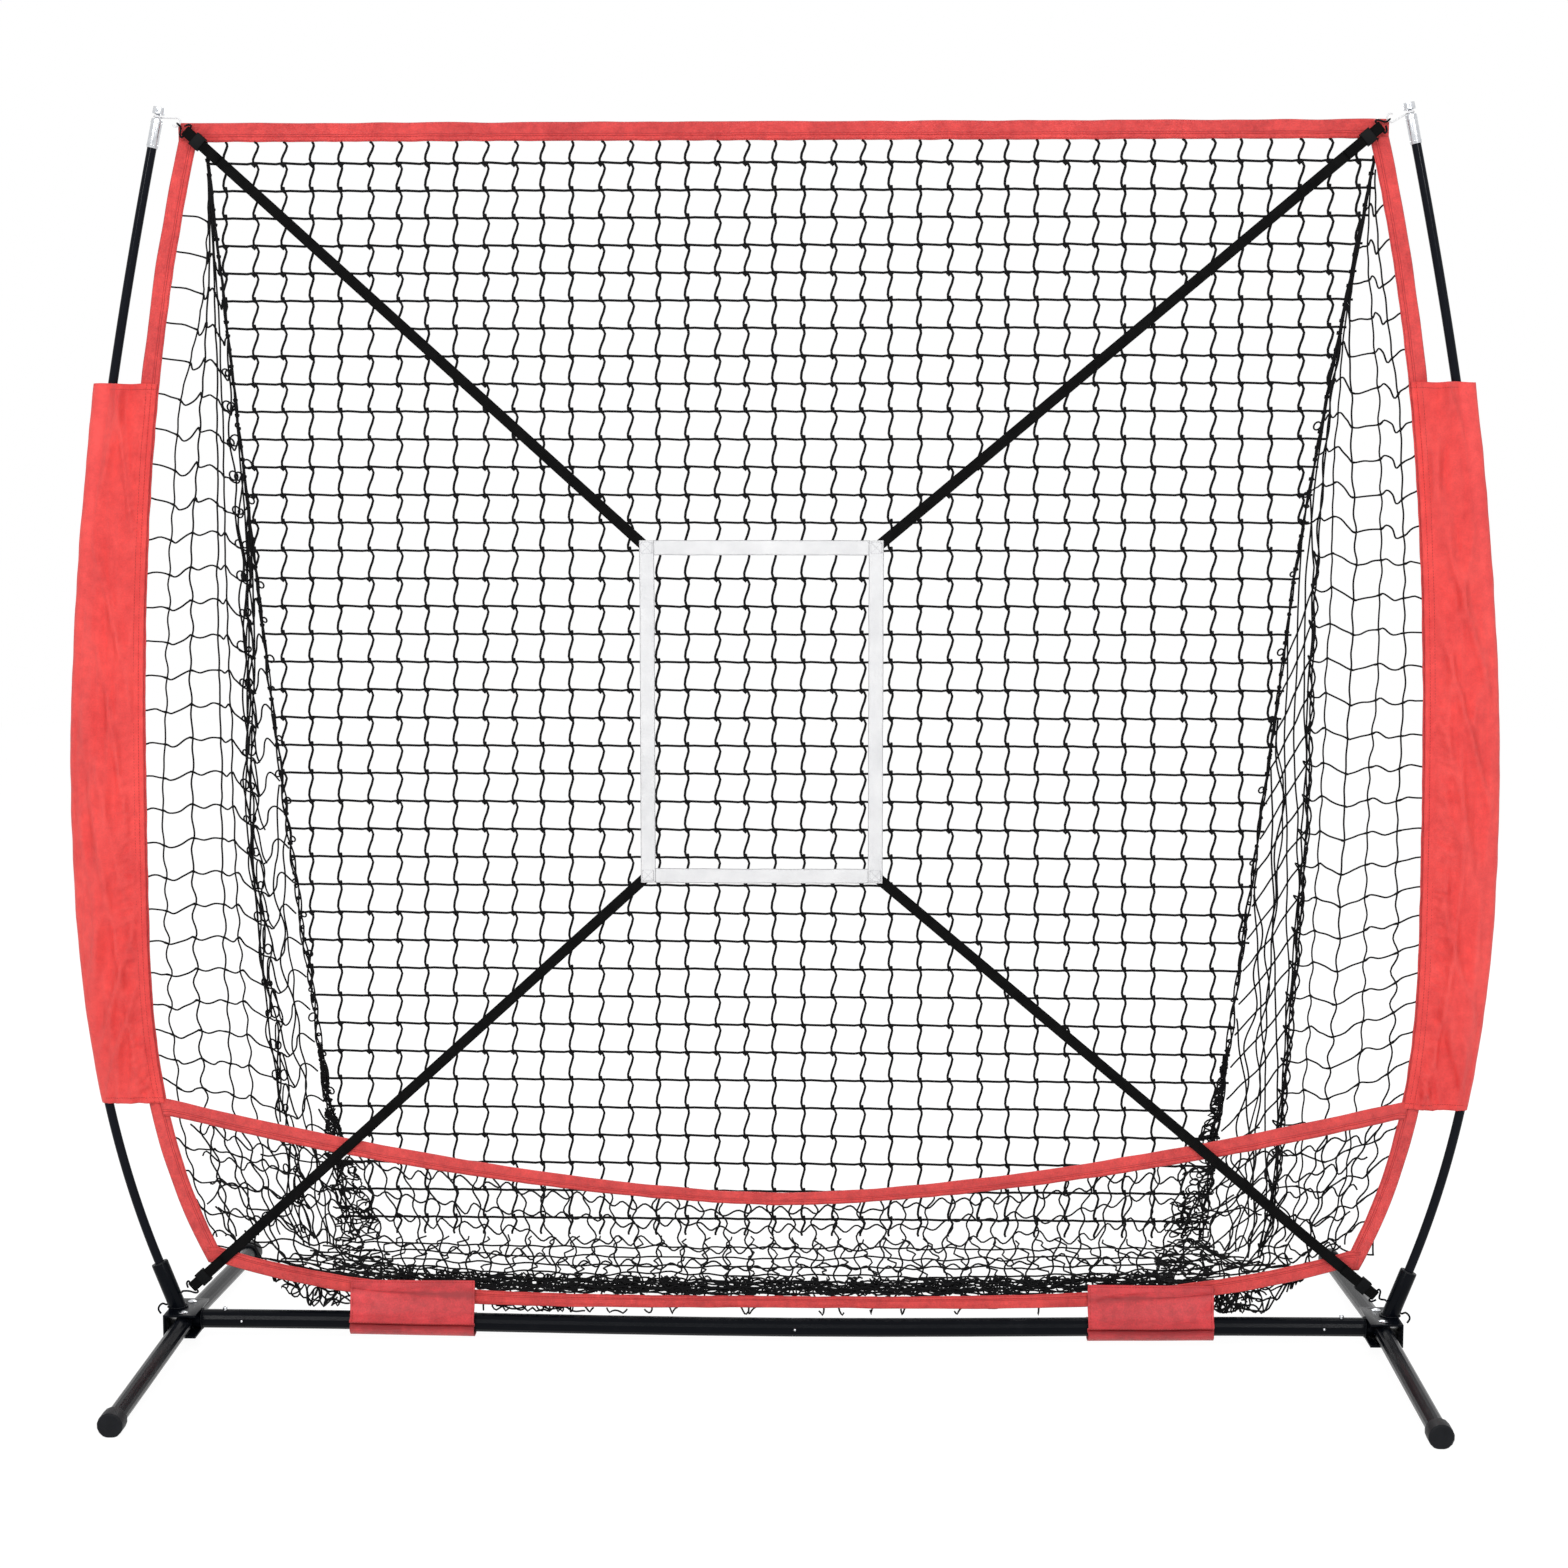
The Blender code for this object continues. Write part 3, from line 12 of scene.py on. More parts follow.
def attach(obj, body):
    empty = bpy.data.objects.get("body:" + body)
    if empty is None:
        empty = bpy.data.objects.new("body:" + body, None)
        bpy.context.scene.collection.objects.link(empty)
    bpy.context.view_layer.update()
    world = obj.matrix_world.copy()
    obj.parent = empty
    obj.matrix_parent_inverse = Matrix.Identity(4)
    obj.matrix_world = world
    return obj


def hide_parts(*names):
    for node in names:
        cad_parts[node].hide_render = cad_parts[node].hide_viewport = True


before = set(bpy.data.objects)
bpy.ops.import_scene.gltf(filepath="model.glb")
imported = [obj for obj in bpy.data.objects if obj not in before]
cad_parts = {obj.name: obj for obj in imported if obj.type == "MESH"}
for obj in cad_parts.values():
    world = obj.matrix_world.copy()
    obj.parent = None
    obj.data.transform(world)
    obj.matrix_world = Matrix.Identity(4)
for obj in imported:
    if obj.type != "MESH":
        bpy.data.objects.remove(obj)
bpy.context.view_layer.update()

# ---------------- camera
# A studio view into the mouth from just below the top hem, far enough back that the sides stay straight.
def add_object(name, data):
    made = bpy.data.objects.new(name, data)
    bpy.context.scene.collection.objects.link(made)
    return made


camera = add_object("camera", bpy.data.cameras.new("camera"))
camera.data.sensor_width = 36.0
camera.data.lens = 63.55
camera.location = (0.1124, -4.115, 1.266)
camera.rotation_euler = (radians(90 - 5.65), 0.0, radians(1.49))
bpy.context.scene.camera = camera
bpy.context.scene.view_settings.view_transform = "Standard"


# ---------------- light and floor
# White studio: a pale floor and world that show white, a broad lamp high in front, strips at both sides that
# draw the long streaks on the poles and tubes, and a lamp behind for the other views.
class Shade:
    """A socket of a node tree. Arithmetic on it adds Math nodes, and node() adds any other node."""

    def __init__(self, tree, socket=None):
        self.tree = tree
        self.socket = socket

    def node(self, kind, settings=None, sockets=None, out=0):
        """Adds a node: its settings first, then the values or links of its sockets; gives one output."""
        made = self.tree.nodes.new("ShaderNode" + kind)
        for name, value in (settings or {}).items():
            setattr(made, name, value)
        for name, value in (sockets or {}).items():
            if isinstance(value, Shade):
                self.tree.links.new(value.socket, made.inputs[name])
            else:
                made.inputs[name].default_value = value
        return Shade(self.tree, made.outputs[out] if len(made.outputs) else None)

    def other(self, out):
        """Another output of the same node."""
        return Shade(self.tree, self.socket.node.outputs[out])

    def math(self, operation, a, b=0.0, clamp=False):
        return self.node("Math", {"operation": operation, "use_clamp": clamp}, {0: a, 1: b})

    __add__ = __radd__ = lambda self, other: self.math("ADD", self, other)
    __mul__ = __rmul__ = lambda self, other: self.math("MULTIPLY", self, other)
    __sub__ = lambda self, other: self.math("SUBTRACT", self, other)
    __rsub__ = lambda self, other: self.math("SUBTRACT", other, self)
    __abs__ = lambda self: self.math("ABSOLUTE", self)


def blank_tree(owner):
    """Empties the node tree of a material or world and gives it as a Shade."""
    owner.use_nodes = True
    owner.node_tree.nodes.clear()
    return Shade(owner.node_tree)


def sees_stage(tree):
    """1 for the rays that show the background: camera, glossy and transmission rays."""
    path = tree.node("LightPath", out="Is Camera Ray")
    seen = path + path.other("Is Glossy Ray") + path.other("Is Transmission Ray")
    return seen.math("MINIMUM", seen, 1.0)


WHITE = (1.0, 1.0, 1.0, 1.0)
WORLD_LIGHT = 0.48
world = bpy.data.worlds.new("studio")
bpy.context.scene.world = world
studio = blank_tree(world)
light = studio.node("Background", sockets={"Color": WHITE, "Strength": WORLD_LIGHT})
white = studio.node("Background", sockets={"Color": WHITE, "Strength": 1.0})
both = studio.node("MixShader", sockets={0: sees_stage(studio), 1: light, 2: white})
studio.node("OutputWorld", sockets={"Surface": both})

floor_finish = bpy.data.materials.new("floor_white")
pale = blank_tree(floor_finish)
matt = pale.node("BsdfDiffuse", sockets={"Color": (0.88, 0.88, 0.88, 1.0)})
glow = pale.node("Emission", sockets={"Color": WHITE, "Strength": 1.08})
pale_floor = pale.node("MixShader", sockets={0: sees_stage(pale) * 0.88, 1: matt, 2: glow})
pale.node("OutputMaterial", sockets={"Surface": pale_floor})

bm = bmesh.new()
bmesh.ops.create_grid(bm, x_segments=2, y_segments=2, size=12.0)
floor_mesh = bpy.data.meshes.new("floor")
bm.to_mesh(floor_mesh)
bm.free()
floor_mesh.materials.append(floor_finish)
floor = add_object("floor", floor_mesh)


def lamp(name, at, aim, size, energy):
    """A rectangular area lamp that faces a point."""
    data = bpy.data.lights.new(name, "AREA")
    data.shape = "RECTANGLE"
    data.size, data.size_y = size
    data.energy = energy
    made = add_object(name, data)
    made.location = at
    made.rotation_euler = (Vector(aim) - Vector(at)).to_track_quat("-Z", "Y").to_euler()


lamp("key", (-0.4, -4.6, 3.9), (0.0, 0.1, 1.1), (2.6, 1.3), 80.0)
lamp("left_strip", (-2.1, -4.1, 2.8), (-0.9, 0.0, 1.2), (0.8, 1.2), 56.0)
lamp("right_strip", (2.1, -4.1, 2.8), (0.9, 0.0, 1.2), (0.8, 1.2), 60.0)
lamp("back", (0.4, 3.4, 3.4), (0.0, 0.2, 0.8), (3.0, 1.2), 85.0)


# ---------------- base: hubs, legs and crossbar
# Round steel tube in black powder coat. Pressed channels at both ends carry a crossbar stub, a pole socket
# and two pinned legs with plastic caps; the crossbar slips together and locks with sprung buttons.
def finish(name):
    """A new material and its empty tree."""
    made = bpy.data.materials.new(name)
    return made, blank_tree(made)


def principled(tree, share, dark, light, **sockets):
    """Ends a material's tree: a colour between two, and sockets named with _ for their spaces."""
    named = {key.replace("_", " "): value for key, value in sockets.items()}
    colours = {0: share, 6: (*dark, 1.0), 7: (*light, 1.0)}
    named["Base Color"] = tree.node("Mix", {"data_type": "RGBA"}, colours, out=2)
    tree.node("OutputMaterial", sockets={"Surface": tree.node("BsdfPrincipled", sockets=named)})


def grain(tree, scale, detail=3.0, rough=0.5, drawn=None):
    """Noise in object space, 0 to 1; drawn gives three scales that stretch it."""
    where = tree.node("TexCoord", out="Object")
    if drawn:
        where = tree.node("VectorMath", {"operation": "MULTIPLY"}, {0: where, 1: drawn})
    return tree.node("TexNoise", sockets={"Vector": where, "Scale": scale, "Detail": detail, "Roughness": rough})


def bump(tree, height, distance):
    return tree.node("Bump", sockets={"Height": height, "Distance": distance, "Strength": 1.0})


powder_coat, tree = finish("powder_coat")
peel = grain(tree, 1400.0, 1.0)
dust = grain(tree, 23.0, 5.0, rough=0.7)
speck = tree.math("MULTIPLY", (dust - 0.55), 3.0, clamp=True)
principled(tree, speck * 0.6, (0.0022, 0.003, 0.005), (0.01, 0.011, 0.014),
           Roughness=0.15 + 0.14 * dust, Specular_IOR_Level=0.065, Normal=bump(tree, peel, 0.00006))

moulded_black, tree = finish("moulded_black")
matt_grain = grain(tree, 2600.0, 2.0)
scuff = grain(tree, 60.0, 4.0, rough=0.65)
principled(tree, scuff, (0.0045, 0.005, 0.006), (0.015, 0.016, 0.019),
           Roughness=0.36 + 0.2 * scuff, Specular_IOR_Level=0.1, Normal=bump(tree, matt_grain, 0.00008))

bright_metal, tree = finish("bright_metal")
rings = grain(tree, 1.0, 2.0, drawn=(60.0, 60.0, 2200.0))
stain = grain(tree, 180.0, 4.0)
principled(tree, stain, (0.42, 0.44, 0.47), (0.78, 0.79, 0.81),
           Metallic=1.0, Roughness=0.16 + 0.18 * rings, Normal=bump(tree, rings, 0.00004))


def add_piece(name, bm, look, body="frame", sharp=None):
    """Makes a riding piece of a finished bmesh, smooth all over or up to an angle."""
    mesh = bpy.data.meshes.new(name)
    bm.to_mesh(mesh)
    bm.free()
    mesh.shade_smooth()
    if sharp:
        mesh.set_sharp_from_angle(angle=radians(sharp))
    mesh.materials.append(look)
    piece = add_object(name, mesh)
    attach(piece, body)
    return piece


def eased(name, node, width, look, body="frame"):
    """A part with rounded edges: its solid's flat faces are merged, and each sharp edge is bevelled."""
    bm = bmesh.new()
    bm.from_mesh(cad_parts[node].data)
    bmesh.ops.remove_doubles(bm, verts=bm.verts, dist=1e-6)
    bmesh.ops.dissolve_limit(bm, angle_limit=radians(2), verts=bm.verts, edges=bm.edges)
    sharp = [edge for edge in bm.edges if edge.is_manifold and edge.calc_face_angle() > radians(40)]
    bmesh.ops.bevel(bm, geom=sharp, offset=width, segments=3, profile=0.5, affect="EDGES", material=-1,
                    clamp_overlap=True)
    piece = add_piece(name, bm, look, body, sharp=50)
    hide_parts(node)


def turned(profile, base, axis, steps=40):
    """A bmesh of a profile of (distance along, radius) pairs, turned about an axis."""
    bm = bmesh.new()
    line = [bm.verts.new((radius, 0.0, along)) for along, radius in profile]
    edges = [bm.edges.new(pair) for pair in zip(line, line[1:])]
    bmesh.ops.spin(bm, geom=line + edges, cent=(0, 0, 0), axis=(0, 0, 1), dvec=(0, 0, 0), angle=tau,
                   steps=steps, use_merge=True, use_normal_flip=False, use_duplicate=False)
    bmesh.ops.remove_doubles(bm, verts=bm.verts, dist=1e-6)
    bmesh.ops.recalc_face_normals(bm, faces=bm.faces)
    turn = Vector((0, 0, 1)).rotation_difference(Vector(axis)).to_matrix().to_4x4()
    bmesh.ops.transform(bm, matrix=Matrix.Translation(base) @ turn, verts=bm.verts)
    return bm


def thread_curve(name, radius, look, resolution=1):
    """An empty curve whose strands are round and closed at their ends."""
    curve = bpy.data.curves.new(name, "CURVE")
    curve.dimensions = "3D"
    curve.bevel_depth = radius
    curve.bevel_resolution = resolution
    curve.use_fill_caps = True
    curve.materials.append(look)
    return curve


def strand(curve, points, swell=None, closed=False):
    """Adds one strand; swell gives each point's share of the curve's radius."""
    spline = curve.splines.new("POLY")
    spline.points.add(len(points) - 1)
    spline.points.foreach_set("co", [value for point in points for value in (*point, 1.0)])
    spline.points.foreach_set("radius", swell or [1.0] * len(points))
    spline.use_cyclic_u = closed


def add_curve(curve, replaced=None):
    """Makes a riding piece of a finished curve, with the curve's name."""
    piece = add_object(curve.name, curve)
    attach(piece, "frame")
    if replaced:
        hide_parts(replaced)


def add_wire(name, radius, look, points, replaced, resolution=4):
    """A piece of one strand."""
    curve = thread_curve(name, radius, look, resolution)
    strand(curve, points)
    add_curve(curve, replaced)


def flat_point(x, z):
    return Vector((x, 0.0, z))


def ripple(x, y=0.0, z=0.0):
    """Smooth noise between about -1 and 1, the same at every run."""
    return noise.noise((x + 11.3, y + 5.7, z + 2.9))


def mix(a, b, share):
    return a + (b - a) * share


SIDES = ((-1, "left"), (1, "right"))
HUB_X = 0.908
HUB_Z = 0.034
BAR_RADIUS = 0.01425
STUB_END = 0.819
PIN_Y = 0.03
PIN_HALF = 0.0202
PIN_HEAD = ((0.0, 0.0), (0.0003, 0.0024), (0.0009, 0.0046), (0.0017, 0.0063), (0.0022, 0.007), (0.0022, 0.004))
BUTTON_RADIUS = 0.0035
BUTTON_DOME = 0.0026
DIMPLE = ((-0.0016, 0.0), (-0.0016, 0.0019), (0.0004, 0.0019), (0.0011, 0.0012), (0.0013, 0.0))
SOCKET_SEAT = 0.052
SOCKET_MOUTH = Vector((0.9493, 0.0, 0.119))
BOW_X, BOW_Z = 1.0585, 0.85
SOCKET_LEAN = (BOW_X - 0.9493) * 2.6 / 0.731
SOCKET_RING = 0.0133
STUB_RING = 0.0146


def bar_z(x):
    """Height of the crossbar's axis, which sags between the stubs."""
    if abs(x) >= STUB_END:
        return HUB_Z
    return HUB_Z - 0.0035 * (1 + cos(pi * x / STUB_END))


def weld_bead(name, centre, across, along, seed):
    """A ring of weld metal round a joint; across and along are the half axes of its ellipse."""
    curve = thread_curve(name, 0.0016, powder_coat, 2)
    turns = [tau * i / 96 for i in range(96)]
    swell = [0.85 + 0.35 * abs(sin(turn * 12)) + 0.2 * ripple(turn * 3, seed) for turn in turns]
    strand(curve, [centre + cos(turn) * across + sin(turn) * along for turn in turns], swell, closed=True)
    add_curve(curve)


def leaning(side, lean):
    """The unit direction of something that leans outward by so much for each metre of height."""
    return flat_point(side * lean, 1.0).normalized()


def coat(node, look):
    """Gives a solid that is shown as it is its finish."""
    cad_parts[node].data.materials.clear()
    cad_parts[node].data.materials.append(look)


def bar_rivet(name, x):
    """A dimpled rivet on the front of the crossbar."""
    dimple = turned(DIMPLE, (x, -BAR_RADIUS, bar_z(x)), (0, -1, 0), 24)
    add_piece(name, dimple, bright_metal, sharp=50)


pin_top = [(PIN_HALF - along, radius) for along, radius in PIN_HEAD]
pin_profile = [(-along, radius) for along, radius in pin_top] + pin_top[::-1]
shoulder = BAR_RADIUS + 0.005 - BUTTON_DOME
button_profile = [(0.0078, 0.0), (0.0078, 0.005), (0.0098, 0.005), (0.0098, BUTTON_RADIUS), (shoulder, BUTTON_RADIUS)]
button_profile += [(shoulder + BUTTON_DOME * sin(turn), BUTTON_RADIUS * cos(turn))
                   for turn in (0.3, 0.6, 0.9, 1.2, pi / 2)]

for side, hand in SIDES:
    eased("hub_channel_" + hand, "hub_bracket_" + hand, 0.001, powder_coat)
    eased("socket_tube_" + hand, "pole_socket_" + hand, 0.0005, powder_coat)
    up = leaning(side, SOCKET_LEAN)
    foot = flat_point(side * SOCKET_MOUTH.x, SOCKET_MOUTH.z) - up * ((SOCKET_MOUTH.z - SOCKET_SEAT) / up.z)
    weld_bead("socket_weld_" + hand, foot + Vector((0, 0, 0.0006)), Vector((SOCKET_RING / up.z, 0, 0)),
              Vector((0, SOCKET_RING, 0)), side)
    weld_bead("stub_weld_" + hand, flat_point(side * (HUB_X - 0.0225), HUB_Z), Vector((0, STUB_RING, 0)),
              Vector((0, 0, STUB_RING)), side * 3)
    coat("crossbar_stub_" + hand, powder_coat)
    coat("crossbar_tube_" + hand, powder_coat)
    coat("button_spring_" + hand, bright_metal)
    coat("pole_bush_" + hand, moulded_black)
    for end, end_name in ((-1, "front_"), (1, "rear_")):
        corner = end_name + hand
        coat("leg_" + corner, powder_coat)
        eased("foot_cap_" + corner, "leg_cap_" + corner, 0.0009, moulded_black, corner + "_leg")
        rivet = add_piece("rivet_" + corner, turned(pin_profile, (side * HUB_X, end * PIN_Y, HUB_Z), (0, 0, 1)),
                          bright_metal, sharp=50)
        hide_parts("leg_pin_" + corner)
    button = turned(button_profile, (side * (STUB_END + 0.0315), 0.0, HUB_Z), (0, 0, 1), 32)
    button = add_piece("sprung_button_" + hand, button, bright_metal, hand + "_button", 50)
    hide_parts("snap_button_" + hand)
    bar_rivet("stub_rivet_" + hand, side * 0.8225)
bar_rivet("middle_rivet", 0.0222)

# ---------------- poles
# Gloss black fibreglass rods, bowed outward by the pull of the net; each stands in a socket and ends in a
# bright ferrule with a slotted crown for the corner cord.
POLE_RADIUS = 0.007
POLE_FOOT_Z = 0.119 - 0.0487 * 0.932
POLE_TOP_X, POLE_TOP_Z = 0.924, 1.7955
TIP_LEAN = -(BOW_X - POLE_TOP_X) * 1.5 / 0.9455
RING = ((-0.0011, 0.008), (-0.0008, 0.00865), (0.0, 0.00885), (0.0008, 0.00865), (0.0011, 0.008), (-0.0011, 0.008))

fibreglass, tree = finish("fibreglass")
fibres = grain(tree, 1.0, drawn=(900.0, 900.0, 14.0))
principled(tree, fibres, (0.002, 0.0028, 0.0055), (0.007, 0.008, 0.012),
           Roughness=0.09 + 0.1 * fibres, Specular_IOR_Level=0.075, Normal=bump(tree, fibres, 0.00003))


def pole_x(z):
    """Bow of the right-hand pole."""
    if z < SOCKET_MOUTH.z:
        return SOCKET_MOUTH.x + SOCKET_LEAN * (z - SOCKET_MOUTH.z)
    if z < BOW_Z:
        return BOW_X - 0.1092 * ((BOW_Z - z) / 0.731) ** 2.6
    if z < POLE_TOP_Z:
        return BOW_X - 0.1345 * ((z - BOW_Z) / 0.9455) ** 1.5
    return POLE_TOP_X + TIP_LEAN * (z - POLE_TOP_Z)


for side, hand in SIDES:
    heights = [mix(POLE_FOOT_Z, POLE_TOP_Z + 0.034, i / 150) for i in range(151)]
    add_wire("pole_rod_" + hand, POLE_RADIUS, fibreglass, [flat_point(side * pole_x(z), z) for z in heights],
             "pole_" + hand, 9)
    eased("pole_crown_" + hand, "pole_tip_" + hand, 0.00035, bright_metal)
    for at in (0.004, 0.037):
        ring = turned([(at + along, radius) for along, radius in RING], (side * POLE_TOP_X, 0.0, POLE_TOP_Z),
                      leaning(side, TIP_LEAN))
        add_piece("ferrule_ring_%s_%d" % (hand, at * 1000), ring, bright_metal)


# ---------------- hems
# Red polyester tape folded over the net's edges and sewn down with two rows near the inner edge: one along
# the top, one down each side, one along the bottom, and one on the lip of the ball pocket.
HEM_WIDTH = 0.025
HEM_TOP = 1.8312
HEM_TOP_X = 0.884
HEM_LOW = 0.122
STITCH_LENGTH = 0.0032
STITCH_PITCH = 0.0044
STITCH_WIRE = 0.00045
THREAD_PITCH = 0.00075
TAPE_SEAMS = (0.08, 0.28)
WIDER = 0.008


def lay_out(name, along, across, size, place, look, seam=False):
    """A grid set in place by place(u, v), with UVs in metres. seam joins v = 1 to v = 0 and caps the ends."""
    bm = bmesh.new()
    layer = bm.loops.layers.uv.new("UVMap")
    bmesh.ops.create_grid(bm, x_segments=along, y_segments=across, size=0.5)
    for face in bm.faces:
        for loop in face.loops:
            loop[layer].uv = ((loop.vert.co.x + 0.5) * size[0], (loop.vert.co.y + 0.5) * size[1])
    for vert in bm.verts:
        vert.co = place(vert.co.x + 0.5, vert.co.y + 0.5)
    if seam:
        bmesh.ops.remove_doubles(bm, verts=bm.verts, dist=1e-6)
        bmesh.ops.holes_fill(bm, edges=[edge for edge in bm.edges if edge.is_boundary], sides=0)
        bmesh.ops.recalc_face_normals(bm, faces=bm.faces)
    return add_piece(name, bm, look)


def unit(x):
    """A value held between 0 and 1."""
    return min(1.0, max(0.0, x))


def peak(x, centre, width):
    """A smooth bump of height 1."""
    return exp(-((x - centre) / width) ** 2)


def side_edge(z):
    """Inner edge of the right-hand side hem: the mouth's outline."""
    if z < 0.68:
        return 0.9565 - 0.0945 * ((0.68 - z) / 0.533) ** 2.73
    return 0.9565 - 0.0975 * ((z - 0.68) / 1.1262) ** 2.8


def bottom_edge(x):
    return 0.0755 + 0.0715 * unit(abs(x) / 0.8605) ** 3.8


def pocket_edge(x):
    return 0.236 + 0.1405 * unit(abs(x) / 0.934) ** 1.6


def dyed_cloth(name, dark, light, painted_shade_lines=()):
    """Plain-woven polyester with uneven dye and slubs; painted shade darkens the colour along given lines of V, where
    the cloth's grooves and creases fall.
    """
    made, tree = finish(name)
    apart = tree.node("SeparateXYZ", sockets={0: tree.node("UVMap")})
    warp = tree.math("SINE", apart * (tau / THREAD_PITCH))
    weft = tree.math("SINE", apart.other(1) * (tau / THREAD_PITCH))
    fade = grain(tree, 9.0, 4.0, rough=0.6)
    crush = grain(tree, 70.0, 3.0)
    slub = grain(tree, 420.0, 2.0)
    tone = (fade - 0.5) * 1.1 + (crush - 0.5) * 0.9 + (slub - 0.5) * 0.7 + 0.5
    # Painted shade: each line (centre in V, half width, darkness) darkens the colour towards its centre.
    for at, width, shade_depth in painted_shade_lines:
        away = abs((apart.other(1) - at) * (1 / width))
        tone = tone - (1 - tree.math("MINIMUM", away, 1.0)) * (shade_depth * (0.4 + slub * 1.2))
    tone = tree.math("MULTIPLY", tone, 1.0, clamp=True)
    principled(tree, tone, dark, light, Roughness=0.36 + 0.2 * slub,
               Specular_IOR_Level=0.75, Sheen_Weight=0.06, Sheen_Roughness=0.4,
               Normal=bump(tree, warp * weft + crush * 2.5 + slub, 0.00012))
    return made


red_cloth = dyed_cloth("red_cloth", (0.66, 0.014, 0.016), (1.0, 0.074, 0.062))
# Painted shade on the tape: lines on its two stitch grooves and on the groove beside its outer fold.
red_tape = dyed_cloth("red_tape", (0.44, 0.01, 0.014), (0.98, 0.076, 0.068),
                      ((0.004, 0.0011, 0.75), (0.014, 0.0012, 0.75), (0.0195, 0.0011, 0.9)))
# Painted shade on the flap: a line at the bottom hem's lower edge, and a band over the crease and the strip below it.
flap_cloth = dyed_cloth("flap_cloth", (0.34, 0.006, 0.012), (0.88, 0.046, 0.056),
                        ((0.017, 0.004, 0.45), (0.076, 0.015, 0.6)))


def thread_look(name, dark, light):
    made, tree = finish(name)
    principled(tree, grain(tree, 1500.0, 2.0), dark, light, Roughness=0.7)
    return made


red_thread = thread_look("red_thread", (0.3, 0.012, 0.014), (0.52, 0.035, 0.034))


def sew(curve, place, count, off, cover=0.72, start=0.5):
    """A row of stitches: place gives the cloth's point at a share of the row, and off stands in front of it."""
    for k in range(count):
        strand(curve, [place((k + start + half * cover) / count) - Vector((0.0, off, 0.0))
                       for half in (-0.5, 0.0, 0.5)], [0.6, 1.0, 0.6])


def fold_profile(share, back):
    """How far the folded tape stands off its middle plane at a share of its width, inner edge first."""
    outer_fold = 1 / (1 + exp(-(share - 0.42) / 0.025))
    swell = 0.0011 + 0.0007 * outer_fold * (1 - 0.5 * share)
    swell -= 0.0009 * peak(share, 0.38, 0.028)
    for seam in TAPE_SEAMS:
        swell -= 0.00035 * peak(share, seam, 0.03)
    swell += 0.0004 * peak(share, 0.72, 0.1)
    ends = min(1.0, min(share, 1.0 - share) / 0.05 + 0.15)
    return (0.6 if back else 1.0) * swell * ends


def hem_tape(name, node, inner, outer, length, seed, over=0.0):
    """Folded tape between two edge curves of u, with two rows of stitches; its ends lie over what they cross."""
    def section(u, share, back):
        low, high = inner(u), outer(u)
        wave = u * length
        low = low + 0.0009 * ripple(wave * 38, seed) * (high - low).normalized()
        high = high + 0.0012 * ripple(wave * 18, seed + 3) * (high - low).normalized()
        point = mix(low, high, share)
        wander = 0.03 * ripple(wave * 9, seed + 9)
        stand = fold_profile(unit(share + wander * sin(pi * share)), back)
        stand += 0.00042 * ripple(wave * 150, share * 3, seed) * peak(share, 0.2, 0.2)
        stand += 0.0006 * ripple(wave * 16, share * 5, seed + 6)
        lap = over * max(0.0, 1 - min(u, 1 - u) * length / 0.05)
        return Vector((point.x, (stand if back else -max(stand, 0.0004)) - lap, point.z))

    def place(u, v):
        v = 0.0 if v >= 1.0 - 1e-9 else v
        return section(u, v * 2, False) if v <= 0.5 else section(u, 2 - v * 2, True)

    tape = lay_out(name, int(length / 0.0045), 36, (length, 4 * HEM_WIDTH), place, red_tape,
                   seam=True)
    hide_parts(node)
    curve = thread_curve(name + "_stitches", STITCH_WIRE, red_thread, 0)
    for seam in TAPE_SEAMS:
        sew(curve, lambda u: section(u, seam, False), int(length / STITCH_PITCH), 0.0002,
            STITCH_LENGTH / STITCH_PITCH)
    add_curve(curve)


def top_hem(z):
    """An edge of the top hem."""
    return lambda u: flat_point(mix(-HEM_TOP_X, HEM_TOP_X, u), z)


def side_hem(side, out):
    """An edge of a side hem, so far outside the mouth's outline."""
    def place(u):
        z = mix(HEM_LOW, HEM_TOP - HEM_WIDTH - 0.0003, u)
        return flat_point(side * (side_edge(z) + out), z)

    return place


def cross_hem(edge, end, share, width):
    """An edge of a hem that crosses the mouth: the tape widens by WIDER towards both ends."""
    def place(u):
        x = mix(-end, end, u)
        wide = width + WIDER * unit(abs(x) / 0.7) ** 1.4
        high = edge(x) + 0.6 * WIDER * unit(x / 0.7) ** 1.4
        return flat_point(x * (1 - 0.007 * (1 - share)), high - wide * (1 - share))

    return place


hem_tape("hem_tape_top", "top_hem", top_hem(HEM_TOP - 0.0275), top_hem(HEM_TOP), 2 * HEM_TOP_X, 1.0)
for side, hand in SIDES:
    hem_tape("hem_tape_" + hand, "side_hem_" + hand, side_hem(side, -0.0025), side_hem(side, HEM_WIDTH),
             1.69, 4.0 + side)
for name, edge, end, inner, width, seed, over in (("bottom", bottom_edge, 0.8775, 1, 0.018, 7.0, 0.001),
                                                  ("pocket", pocket_edge, 0.944, 0, 0.0195, 9.0, 0.0018)):
    hem_tape("hem_tape_" + name, name + "_hem", cross_hem(edge, end, inner, width),
             cross_hem(edge, end, 1 - inner, width), 2 * end, seed, over)

# ---------------- side sleeves
# One width of the red cloth, doubled round each pole and sewn to the side hem with two rows; hemmed at its
# open top and bottom. It hangs in long slanting folds, and the seam gathers it in short puckers.
SLEEVE_LOW = 0.3704
SLEEVE_HIGH = 1.4525
SLEEVE_SEAMS = (0.0075, 0.0145)
ROUND_POLE = 0.86


def sleeve_outer(z):
    return pole_x(z) + 0.0097 + 0.019 * max(0.0, (z - BOW_Z) / (SLEEVE_HIGH - BOW_Z)) ** 1.2


